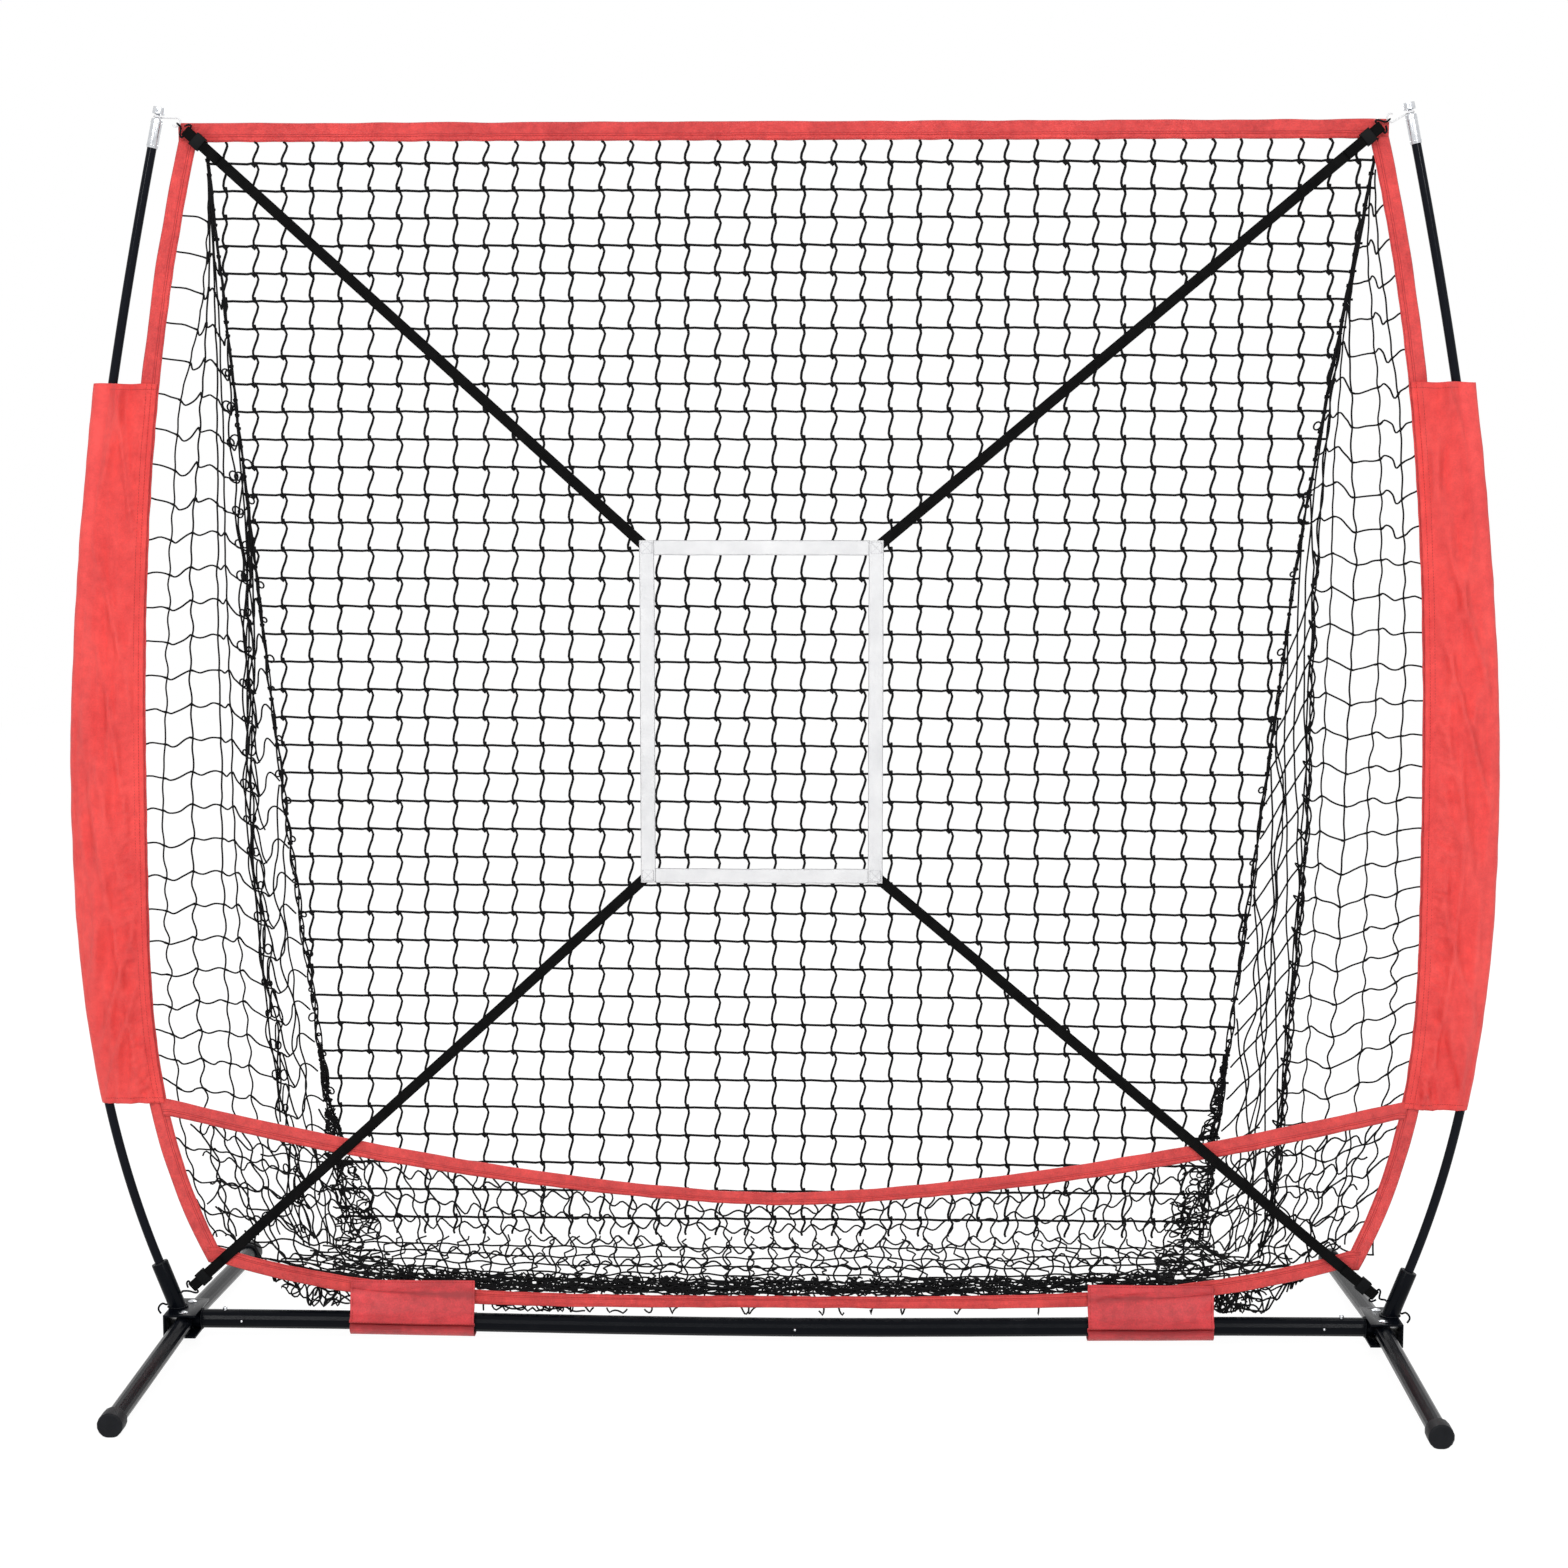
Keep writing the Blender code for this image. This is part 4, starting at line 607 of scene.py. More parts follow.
def sleeve_stand(x, z, share, seed):
    """How far folds and puckers lift the sleeve's free cloth."""
    free = sin(pi * unit((share - 0.14) / 0.86)) ** 0.7
    lift = 0.0
    for lean, pitch, height in ((2.6, 20.0, 0.012), (-1.7, 28.0, 0.009), (0.6, 48.0, 0.004)):
        crest = abs(ripple(x * pitch + z * lean * 2.2, z * 1.9 + lean, seed))
        lift += height * max(0.0, 1 - crest * 3.6) ** 1.25
    lift += 0.0022 * ripple(x * 45, z * 12, seed + 5)
    spread = peak(share, 0.27, 0.16) if share > 0.15 else 0.35
    patch = 0.35 + 0.9 * max(0.0, 0.45 + 0.55 * (0.95 - z) / 0.5 + ripple(z * 5, 0.0, seed + 9))
    crest = abs(ripple(z * 88 + share * 4, share * 2.6, seed + 8))
    gather = 0.0042 * min(patch, 1.5) * spread * (max(0.0, 1 - crest * 2.8) ** 1.2 - 0.3)
    return max(0.0, lift) * free + gather * (0.4 + 0.6 * free)


def sleeve_point(side, z, v, seed):
    """A point of the sleeve's cloth: v runs from the hem, round the pole, and back to the hem."""
    front = v <= 0.5
    way = v * 2 if front else 2 - v * 2
    layer = seed + (0 if front else 3)
    edge, pole, outer = side_edge(z), pole_x(z), sleeve_outer(z)
    if way < ROUND_POLE:
        share = way / ROUND_POLE
        x = mix(edge + 0.0008, pole, share)
        seam = HEM_WIDTH / (pole - edge)
        beyond = max(0.0, (share - seam) / (1 - seam))
        y = 0.0028 + 0.0056 * beyond ** 1.5 + sleeve_stand(x, z, share, layer)
        for inset in SLEEVE_SEAMS:
            y -= 0.0007 * peak(x - edge, inset, 0.0014)
        if min(z - SLEEVE_LOW, SLEEVE_HIGH - z) < 0.011:
            y += 0.0008
        y = max(y, 0.0022)
    else:
        turn = (way - ROUND_POLE) / (1 - ROUND_POLE) * pi / 2
        x = pole + (outer - 0.0006 - pole) * sin(turn) + 0.0011 * ripple(z * 26, 0.0, seed + 2) * sin(turn)
        y = 0.0084 * cos(turn) + sleeve_stand(x, z, 1.0, layer) * cos(turn)
    return Vector((side * x, -y if front else y, z + 0.0016 * ripple(x * 30, seed, z * 2)))


def thicken(cloth, thickness):
    wall = cloth.modifiers.new("cloth", "SOLIDIFY")
    wall.thickness = thickness
    wall.offset = 0.0


for side, hand in SIDES:
    height = SLEEVE_HIGH - SLEEVE_LOW
    seed = 20.0 + 4 * side

    def sleeve_place(u, v):
        return sleeve_point(side, SLEEVE_LOW + height * u, v, seed)

    def seam_place(u):
        z = SLEEVE_LOW + height * u
        return sleeve_point(side, z, inset / (pole_x(z) - side_edge(z)) * ROUND_POLE / 2, seed)

    sleeve = lay_out("sleeve_cloth_" + hand, 420, 72, (height, 0.27), sleeve_place, red_cloth)
    thicken(sleeve, 0.0011)
    curve = thread_curve("sleeve_stitches_" + hand, STITCH_WIRE, red_thread, 0)
    for inset in SLEEVE_SEAMS:
        sew(curve, seam_place, int(height / STITCH_PITCH), 0.0008)
    for z in (SLEEVE_LOW + 0.0085, SLEEVE_HIGH - 0.0085):
        sew(curve, lambda v: sleeve_point(side, z, 0.43 * v, seed), 24, 0.0008, 0.7, 0.55)
    add_curve(curve)
    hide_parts("side_sleeve_" + hand)

# ---------------- crossbar flaps
# A tab of the same cloth under the bottom hem at each side, wrapped round the crossbar and closed on itself
# with hook-and-loop tape; its closing edge shows as a folded lip in front of the bar.
FLAP_NEAR = 0.466
FLAP_WIDE = 0.19


def flap_path(x):
    """Middle line of a flap's cloth at an X, from its top on the hem to its loose end."""
    axis = bar_z(x)
    front, drop = 0.0178, 0.0198
    path = [(-0.00295, 0.097), (-0.0034, 0.088), (-0.0034, 0.08), (-0.0062, bottom_edge(x) - 0.018),
            (-0.0135, axis + 0.019), (-0.019, axis + 0.01), (-0.0222, axis + 0.0046), (-0.022, axis + 0.0022),
            (-0.0152, axis + 0.0016), (-0.015, axis - 0.0018), (-0.018, axis - 0.0034), (-0.019, axis - 0.0058)]
    for y, z in ((-front * 1.08, -0.0105), (-front * 0.82, -drop * 0.8), (-front * 0.4, -drop * 0.98),
                 (0.0, -drop), (front * 0.4, -drop * 0.98), (front * 0.8, -drop * 0.8), (front, -0.006),
                 (front, 0.002), (front * 0.97, 0.01)):
        path.append((y, axis + z))
    return path


def along_path(path, share):
    """A point at a share of a list of points, rounded through them."""
    place = share * (len(path) - 1)
    i = min(int(place), len(path) - 2)
    t = place - i
    a, b = path[max(i - 1, 0)], path[i]
    c, d = path[i + 1], path[min(i + 2, len(path) - 1)]
    return tuple(0.5 * (2 * q + (r - p) * t + (2 * p - 5 * q + 4 * r - s) * t * t + (3 * q - p - 3 * r + s) * t ** 3)
                 for p, q, r, s in zip(a, b, c, d))


for side, hand in SIDES:
    def flap_place(u, v):
        x = side * mix(FLAP_NEAR, FLAP_NEAR + FLAP_WIDE, u)
        y, z = along_path(flap_path(x), v)
        free = sin(pi * v / 0.32) if v < 0.32 else 0.0
        y -= free * (0.0014 + 0.003 * ripple(x * 16 + v * 5, v * 14, side * 3.0)
                     + 0.0012 * ripple(x * 60, v * 40, side * 3.0))
        pucker = peak(v, 0.13, 0.05) + peak(v, 0.3, 0.05)
        y -= 0.0009 * pucker * ripple(x * 130, v * 9, side * 11.0)
        z += 0.001 * ripple(x * 14, side * 5.0) * (1 if 0.25 < v < 0.55 else 0.3)
        x += 0.0014 * ripple(v * 9, u * 0.5, side * 7.0) * (2 * u - 1)
        return Vector((x, y, z))

    flap = lay_out("flap_cloth_" + hand, 90, 130, (FLAP_WIDE, 0.145), flap_place, flap_cloth)
    thicken(flap, 0.0013)
    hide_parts("crossbar_flap_" + hand)
    curve = thread_curve("flap_stitches_" + hand, STITCH_WIRE, red_thread, 0)
    for v in (0.02, 0.335):
        sew(curve, lambda u: flap_place(u, v), int(FLAP_WIDE / STITCH_PITCH), 0.0009)
    for u in (0.02, 0.98):
        sew(curve, lambda v: flap_place(u, 0.33 * v), 12, 0.0009)
    add_curve(curve)

# ---------------- back net
# Square knotted netting of black twine, about 45 mm to the mesh, hung from the top hem and drawn back to the
# foot ropes. Each upright twine bows a little between its knots, in turns of two soft and two full.
black_twine, tree = finish("black_twine")
fuzz = grain(tree, 900.0, 3.0)
strands = grain(tree, 160.0, 2.0)
principled(tree, strands, (0.0025, 0.0025, 0.003), (0.011, 0.011, 0.012),
           Roughness=0.85, Specular_IOR_Level=0.1, Normal=bump(tree, fuzz, 0.0003))

TWINE = 0.002
SIDE_TWINE = 0.0014
MESH = 0.0445
FOOT_Z = 0.06
BACK_RISE = 1.7453
SOFT_BOW = ((0, 0), (0.1, 0.045), (0.2, 0.053), (0.38, 0.005), (0.6, -0.06), (0.8, -0.08), (0.92, -0.05))
FULL_BOW = ((0, 0.015), (0.08, 0.095), (0.2, 0.14), (0.4, 0.095), (0.6, 0.02), (0.8, -0.038), (0.92, -0.035))
KNOT = ((0.0012, 0.006), (0.001, 0.0022), (-0.0016, -0.0014))
LOW_KNOT = ((-0.0042, 0.0004), (0.0002, -0.004), (0.0042, 0.0002))
BACK_ROWS = 39
BACK_COLUMNS = range(-13, 29)


def row_z(j):
    return 1.7732 - 0.03855 * j - 0.000149 * j * j


def column_x(k, z):
    return -0.3619 + 0.04863 * k + z * (0.0311 - 0.00343 * k)


def back_y(z):
    return 0.4 * (1 - (z - FOOT_Z) / BACK_RISE)


def rope_x(side, z):
    """The back net's edge at a height; the right one is drawn further in than the left."""
    even = mix(0.715, 0.856, (z - FOOT_Z) / BACK_RISE)
    if side < 0:
        return -(even + 0.019 - 0.027 * max(0.0, z - 0.7) ** 1.3)
    return even - 0.028 + 0.006 * min(z, 1.0) + 0.034 * max(0.0, (z - 1.15) / 0.63) ** 1.3


def on_back(x, z, stand=0.0):
    return Vector((x, back_y(z) + stand, z))


def clipped_strands(curve, points, inside):
    """Adds the runs of a line that lie inside the panel, each carried up to the panel's edge."""
    def to_edge(kept, left_out):
        for _ in range(4):
            middle = (kept + left_out) / 2
            kept, left_out = (middle, left_out) if inside(middle) else (kept, middle)
        return kept

    run, last = [], None
    for point in points + [None]:
        if point is not None and inside(point):
            if not run and last is not None:
                run.append(to_edge(point, last))
            run.append(point)
        else:
            if run and point is not None:
                run.append(to_edge(run[-1], point))
            if len(run) > 1:
                strand(curve, run)
            run = []
        last = point


columns = thread_curve("netting_back_columns", TWINE, black_twine)
rows = thread_curve("netting_back_rows", TWINE, black_twine)
for k in BACK_COLUMNS:
    bow = FULL_BOW if k % 4 in (1, 2) else SOFT_BOW
    line = []
    for j in range(-1, BACK_ROWS):
        upper, lower = min(row_z(j), 1.804), max(row_z(j + 1), 0.061)
        for t, offset in (bow if upper > lower else ()):
            z = mix(upper, lower, t)
            line.append(on_back(column_x(k, z) + offset * MESH + 0.0014 * ripple(k * 3.1, z * 9), z))
    clipped_strands(columns, line, lambda p: rope_x(-1, p.z) - 0.002 < p.x < rope_x(1, p.z) + 0.002)
for j in range(BACK_ROWS):
    z = row_z(j)
    low_row = j % 4 in (3, 0)
    line = []
    for k in BACK_COLUMNS:
        for t in (0.0, 0.25, 0.5, 0.75):
            x = mix(column_x(k, z), column_x(k + 1, z), t)
            droop = mix(0.02, -0.03, t) * MESH if low_row else 0.012 * MESH * sin(tau * t)
            line.append(on_back(x, z + droop + 0.0006 * ripple(x * 30, j * 2.0)))
    past = 0.008 + 0.006 * ripple(j * 0.9, 3.0)
    clipped_strands(rows, line, lambda p: rope_x(-1, p.z) - 0.001 < p.x < rope_x(1, p.z) + past)
    for k in BACK_COLUMNS:
        x = column_x(k, z)
        if rope_x(-1, z) < x < rope_x(1, z):
            knot = LOW_KNOT if low_row else KNOT
            strand(rows, [on_back(x + dx, z + dz, -0.0012) for dx, dz in knot], [1.0, 1.35, 1.0])
add_curve(columns, "back_net")
add_curve(rows)

# ---------------- ropes at the back net's edges
# A thicker laced line on each slanting edge of the back net, where the side panels join it: three twines
# wound loosely together, with lacing knots and small stray loops.
ropes = thread_curve("lacing", SIDE_TWINE, black_twine)


def small_loop(curve, centre, right, up, size, tall, lean):
    """A stray loop of twine that crosses itself."""
    points = []
    for i in range(15):
        turn = tau * (i / 14) * 1.08 - 0.2
        a, b = size * 0.8 * sin(turn), size * tall * (1 - cos(turn)) / 2
        points.append(centre + right * (a + lean * b) + up * b)
    strand(curve, points)


for side in (-1, 1):
    for ply in range(3):
        line = []
        for i in range(361):
            z = mix(1.804, 0.062, i / 360)
            loose = 0.0013 + 0.0042 * max(0.0, 1.15 - z) * (0.6 if side > 0 else 1.0)
            turn = tau * (z * 9 + ply / 3) + 2.5 * ripple(z * 6, ply * 2.0, side)
            x = rope_x(side, z) + loose * cos(turn) + loose * ripple(z * 15, ply * 5.0, side)
            line.append(Vector((x, back_y(z) + loose * sin(turn) * 0.7, z)))
        strand(ropes, line, [1.0 + 0.35 * max(0.0, ripple(i * 0.31, ply, side)) for i in range(361)])
    for n in range(74):
        z = mix(1.78, 0.09, n / 73) + 0.008 * ripple(n * 1.7, side)
        centre = on_back(rope_x(side, z), z)
        wide = 0.003 + 0.0012 * ripple(n * 2.3, side * 2.0)
        knot = [centre + Vector((wide * cos(a), 0.002 * sin(a * 2), 0.0022 * sin(a)))
                for a in (0.4, 1.5, 2.6, 3.7, 4.8, 5.9, 7.0)]
        strand(ropes, knot, [0.8, 1.1, 1.3, 1.3, 1.2, 1.0, 0.8])
    loops = 22 if side < 0 else 12
    for n in range(loops):
        z = mix(1.4, 0.14, n / (loops - 1)) + 0.02 * ripple(n * 2.9, side)
        size = 0.0035 + 0.005 * abs(ripple(n * 1.3, side * 4.0)) * 2
        centre = on_back(rope_x(side, z) - side * 0.001, z)
        out = Vector((-side if ripple(n * 0.7, side * 6.0) > -0.25 else side, 0, 0))
        small_loop(ropes, centre, Vector((0, 0.2, -1)).normalized(), out, size, 1.5, 0.3)
add_curve(ropes)

# ---------------- side nets
# The same netting between each side hem and the back net's rope, cut fuller than the gap, so that its rows
# hang in waves and its spare uprights bunch beside the rope.
POST_HEIGHTS = (1.76, 1.58, 1.43, 1.19, 0.82, 0.42, 0.24)
# Where the six uprights between hem and rope stand at each of those heights, in hundredths of the way.
POSTS = {
    -1: ((94, 95, 96, 97, 98, 99), (65, 72, 85, 89, 94, 96), (31, 57, 77, 83, 90, 95), (23, 42, 66, 73, 87, 94),
         (14, 34, 55, 63, 72, 79), (11, 27, 44, 56, 72, 78), (5, 21, 37, 52, 66, 75)),
    1: ((60, 93, 95, 97, 98, 99), (31, 56, 93, 96, 98, 99), (17, 38, 70, 86, 95, 97), (15, 33, 53, 72, 84, 92),
        (16, 35, 49, 64, 71, 86), (12, 27, 44, 57, 67, 80), (9, 22, 35, 48, 61, 74))}
# How a row hangs: at each post on its way, how many millimetres it stands above its level.
HANG = {
    -1: ((0, -10), (0.5, -8), (1, -11), (1.25, -14), (1.6, -8), (1.9, -1), (2, 0), (2.3, -4), (2.7, 2),
         (3, 0), (3.5, -5), (4, 0), (4.4, -13), (5, -24), (5.6, -28), (6, -30), (6.15, -35), (6.4, -22),
         (6.5, -4), (6.7, 2), (7, -10)),
    1: ((0, -4), (0.6, -1), (1, -3.5), (1.4, -6.5), (1.8, 2), (2, 0), (2.4, -3), (2.85, -7), (3, -7),
        (3.5, 2), (3.9, 9), (4, 9.5), (4.5, 4), (5, 6), (5.35, 13), (5.2, 4), (4.8, -18), (5.1, -40), (5.6, -64),
        (6.1, -96), (6.6, -128), (7, -152))}
HIGH_HANG = {
    -1: ((0, 0), (0.5, -2), (1, -9), (1.3, -17), (1.65, -12), (1.95, 2), (2.1, -5), (2.6, -1), (3, -7),
         (3.5, -12), (4, -18), (5, -26), (5.6, -30), (6.2, -20), (7, -12)),
    1: ((0, 2), (0.5, -4), (1, -13), (1.3, -18), (1.45, -5), (1.75, 1), (2, -5), (2.5, -7), (3, -9),
        (3.3, 0), (3.7, 12), (4, 13), (4.6, 7), (5, 12), (6, 4), (7, 2))}
ARCH = ((5.2, -22), (5.4, 12), (5.7, 20), (5.95, 6), (6.05, -22), (6.15, -34))

# Spare uprights: where each starts, the post it keeps to, how far it swings, and the length of a swing.
BUNCH = {
    -1: ((1.52, 5.1, 0.35, 0.13), (1.36, 5.45, 0.3, 0.17), (1.28, 5.9, 0.25, 0.11), (0.86, 6.45, 0.22, 0.12),
         (0.8, 6.6, 0.16, 0.07)),
    1: ((1.62, 5.05, 0.22, 0.1), (1.3, 5.2, 0.2, 0.16), (0.96, 6.1, 0.13, 0.1), (0.96, 6.2, 0.16, 0.15),
        (0.74, 6.55, 0.14, 0.12))}


def side_point(side, post, z, sway=0.0):
    """A point of a side panel. Posts 0 and 7 are the hem and the rope; 1 to 6 are uprights between them."""
    i = 0
    while i < len(POST_HEIGHTS) - 2 and z < POST_HEIGHTS[i + 1]:
        i += 1
    t = min(max((POST_HEIGHTS[i] - z) / (POST_HEIGHTS[i] - POST_HEIGHTS[i + 1]), 0.0), 1.3)
    k = min(int(max(post, 0.0)), 6)
    upper, lower = ([0.0] + [percent / 100 for percent in POSTS[side][j]] + [1.0] for j in (i, i + 1))
    u = mix(mix(upper[k], upper[k + 1], post - k), mix(lower[k], lower[k + 1], post - k), t)
    front = Vector((side * (side_edge(z) + 0.004), 0.003, z))
    rear = Vector((rope_x(side, z), back_y(z) - 0.001, z))
    across = (rear - front).normalized().cross(Vector((0, 0, 1)))
    drop = 0.09 * max(0.0, 1.15 - z) * u
    point = mix(front, rear, u) + across * sway
    return Vector((point.x, max(point.y, 0.0025), max(z - drop, 0.052)))


def hem_lift(side, post, z):
    """How far a row climbs towards the hem, low on the panel."""
    start, full, most = (0.95, 0.45, 0.06) if side > 0 else (0.54, 0.36, 0.045)
    return most * unit((start - z) / (start - full)) ** 1.3 * max(0.0, 1 - post / 3.2) ** 1.2


for side, hand in SIDES:
    net = thread_curve("netting_" + hand, SIDE_TWINE, black_twine)
    seed = 30.0 + side * 4
    last_post = 4 if side < 0 else 5
    first_row = 1.181 if side < 0 else 1.14
    for post in range(1, last_post + 1):
        line = []
        for i in range(260):
            z = mix(1.76, 0.16, i / 259)
            slack = 0.045 + 0.07 * unit((0.9 - z) / 0.5) * (1.7 if post == 1 else 1.0)
            beat = (first_row - z) / 0.0507
            bow = slack * sin(tau * beat + post * 1.3) * (0.7 + 0.8 * ripple(z * 5, post * 2.0, seed))
            bow += 0.06 * ripple(z * 13, post * 4.0, seed + 1) + 0.03 * ripple(z * 47, post * 4.0, seed + 1)
            line.append(side_point(side, post + bow, z, 0.005 * ripple(z * 11, post * 3.0, seed + 2)))
        strand(net, line)
    for n, (top, middle, swing, turn) in enumerate(BUNCH[side]):
        line = []
        for i in range(260):
            z = mix(top, 0.14, i / 259)
            wander = 0.5 * swing * ripple(z * 17, n * 3.0, seed + 6)
            post = middle + swing * sin(tau * z / turn + n * 2.1) * 0.5 + wander
            post = mix(7.0, post, unit((top - z) / 0.12))
            line.append(side_point(side, min(post, 7.0), z, 0.005 * cos(tau * z / turn + n)))
        strand(net, line)
    for n in range(6 if side > 0 else 2):
        top = 1.46 - 0.19 * n
        line = []
        for i in range(180):
            z = top - 0.0052 * i
            if z < 0.13:
                break
            away = unit((top - z) / 0.62) ** 0.8
            line.append(side_point(side, 7.0 - 1.95 * away + 0.12 * ripple(z * 14, n * 5.0, seed + 7), z,
                                   0.004 * ripple(z * 9, n * 2.0)))
        strand(net, line)
    for i in range(-11, 21):
        z = first_row - 0.0512 * i + 0.00007 * i * i
        if not 0.135 < z < 1.735:
            continue
        shape = HIGH_HANG[side] if z > 1.24 else HANG[side]
        rough = 1.0 + 1.6 * unit((0.55 - z) / 0.3)
        line, swell = [], []
        steps = (len(shape) - 1) * 4
        for m in range(steps + 1):
            post, hang = along_path(shape, m / steps)
            hang = hang * 0.001 + rough * 0.003 * ripple(post * 1.9, i * 1.7, seed + 3) + hem_lift(side, post, z)
            loose = unit((7.0 - post) / 0.4)
            post = min(max(post + loose * rough * 0.08 * ripple(post * 2.3, i * 2.9, seed + 4), 0.0), 7.0)
            line.append(side_point(side, post, z + hang, 0.005 * ripple(post, i * 0.9, seed + 5)))
            near = abs(post - round(post)) / 0.06 if 0.5 < post < last_post + 0.5 else 9.0
            swell.append(1.0 + 0.55 * exp(-near * near))
        strand(net, line, swell)
        if z > 1.5 or side > 0:
            continue
        for n in range(2):
            post = 5.1 + 0.6 * n + 0.25 * ripple(i * 1.9, n * 3.0, seed)
            centre = side_point(side, post, z - 0.024)
            right = (side_point(side, post + 0.5, z - 0.024) - centre).normalized()
            size = 0.008 + 0.006 * ripple(i * 1.1, n * 2.0, seed)
            small_loop(net, centre, right, Vector((0, 0, 1)), size, 1.6, 0.25 * (n - 1))
        if z < 1.2:
            arch = [along_path(ARCH, m / 20) for m in range(21)]
            strand(net, [side_point(side, post + 0.12 * ripple(i * 1.3, m * 0.1), z + hang * 0.001, 0.004)
                         for m, (post, hang) in enumerate(arch)])
    add_curve(net, "side_net_" + hand)


# ---------------- ball pocket and floor net
# The bag's foot: a low front panel behind the pocket hem, and a floor from the bottom hem to the back net.
# Spare netting lies in folds behind the bottom hem and gathers below both ropes.
def slack_twine(curve, place, start, heading, length, turning, seed):
    """A loose twine that wanders over a panel; place(a, b) sets its points and turning is how tightly it curls."""
    a, b = start
    points = []
    for i in range(int(length / 0.0045)):
        heading += turning * ripple(i * 0.21, seed * 3.7) + 0.05 * turning
        a += 0.0045 * cos(heading)
        b += 0.0045 * sin(heading)
        points.append(place(a, b))
    strand(curve, points)


def pocket_point(u, v, y):
    """A point of the pocket's front panel: v is 0 at the bottom hem and 1 at the pocket hem."""
    low_x, high_x = mix(-0.845, 0.845, u), mix(-0.908, 0.908, u)
    low, high = bottom_edge(low_x) - 0.004, pocket_edge(high_x) - 0.014
    return Vector((mix(low_x, high_x, v), y, mix(low, high, v)))


def belly(along, v):
    """How far the pocket's netting stands behind the mouth."""
    return 0.0045 + 0.012 * (1 + ripple(along, v * 4, 2.0)) * sin(pi * v)


POCKET_COLUMNS = 52
pocket = thread_curve("netting_pocket", SIDE_TWINE, black_twine)
for k in range(POCKET_COLUMNS):
    line = []
    for i in range(31):
        v = i / 30
        bow = 0.0042 * sin(tau * v * 4.3 + k * 2.2) + 0.0075 * ripple(k * 1.3, v * 4)
        line.append(pocket_point((k + 0.5) / POCKET_COLUMNS + bow / 1.8, v, belly(k * 0.9, v)))
    strand(pocket, line)
for i in range(5):
    line = []
    v = 0.1 + 0.195 * i
    for m in range(8 * POCKET_COLUMNS):
        u = (m + 0.5) / (8 * POCKET_COLUMNS)
        wave = 0.03 * sin(tau * u * POCKET_COLUMNS + i * 1.9) + 0.075 * ripple(u * 34, i * 3.0)
        wave += 0.04 * ripple(u * 90, i * 5.0)
        line.append(pocket_point(u, v + wave, belly(u * 47, v)))
    strand(pocket, line)
add_curve(pocket, "pocket_net")


def floor_point(u, v, lift):
    """A point of the floor net: v is 0 at the bottom hem and 1 at the back net's foot."""
    x = mix(-0.8475, 0.8475, u)
    front = Vector((x, 0.003, bottom_edge(x) - 0.009))
    rear = Vector((mix(rope_x(-1, FOOT_Z), rope_x(1, FOOT_Z), u), 0.397, FOOT_Z))
    point = mix(front, rear, v)
    point.z += lift - 0.018 * sin(pi * v)
    return point


floor_net = thread_curve("netting_floor", SIDE_TWINE, black_twine)
for k in range(39):
    strand(floor_net, [floor_point((k + 0.5) / 39 + 0.006 * sin(i * 1.5 + k) / 1.7, i / 32,
                                   0.006 * ripple(k * 1.1, i / 4, 6.0)) for i in range(33)])
for i in range(1, 9):
    strand(floor_net, [floor_point(m / 156, i / 9 + 0.01 * ripple(m * 0.28, i * 2.0),
                                   0.006 * ripple(m * 0.25, i * 1.4, 6.0)) for m in range(157)])
add_curve(floor_net, "floor_net")


def spread(n, step=0.618):
    """A share between 0 and 1 that leaps about evenly as n counts up."""
    return (n * step) % 1.0


def folded(a, width):
    """A distance that turns back at both ends of a width."""
    a = a % (2 * width)
    return min(a, 2 * width - a)


heap = thread_curve("netting_heap", SIDE_TWINE, black_twine)
for i in range(9):
    reach = 0.6 - 0.03 * (i % 4)
    line = []
    for m in range(241):
        x = mix(-reach, reach, m / 240)
        rise = 0.002 + 0.02 * spread(i, 0.377) + 0.006 * ripple(x * 24, i * 1.9) + 0.004 * ripple(x * 70, i * 2.9)
        y = 0.006 + 0.002 * i + 0.004 * ripple(x * 13, i * 2.7)
        line.append(Vector((x + 0.006 * ripple(x * 50, i * 4.1), max(y, 0.0045), bottom_edge(x) + max(rise, -0.004))))
    strand(heap, line)


def heap_point(x, lift):
    """On the folded netting just behind the bottom hem."""
    lift = folded(lift, 0.026)
    return Vector((x, 0.007 + 0.35 * lift + 0.004 * ripple(x * 60, lift * 200), bottom_edge(x) + lift))


for n in range(92):
    x = mix(-0.58, 0.56, spread(n)) + 0.02 * ripple(n * 3.3)
    slack_twine(heap, heap_point, (x, 0.02 * spread(n, 0.377)), n * 2.4, 0.1, 1.6, n + 1.0)

# Below each rope the spare netting gathers in a tangle that widens down the back net's foot and across the
# floor to the bottom hem. Each station is (least x, greatest x, y, z).
TANGLE = {
    -1: ((-0.766, -0.758, 0.32, 0.4), (-0.761, -0.742, 0.347, 0.28), (-0.764, -0.716, 0.364, 0.19),
         (-0.757, -0.692, 0.38, 0.118), (-0.755, -0.672, 0.39, 0.064), (-0.735, -0.64, 0.27, 0.054),
         (-0.706, -0.602, 0.13, 0.066), (-0.676, -0.566, 0.02, 0.09)),
    1: ((0.712, 0.719, 0.32, 0.4), (0.688, 0.711, 0.347, 0.28), (0.652, 0.706, 0.364, 0.19),
        (0.63, 0.702, 0.38, 0.118), (0.612, 0.702, 0.39, 0.064), (0.598, 0.69, 0.27, 0.054),
        (0.58, 0.674, 0.13, 0.066), (0.561, 0.655, 0.02, 0.094))}
TANGLE_LENGTH = 0.72
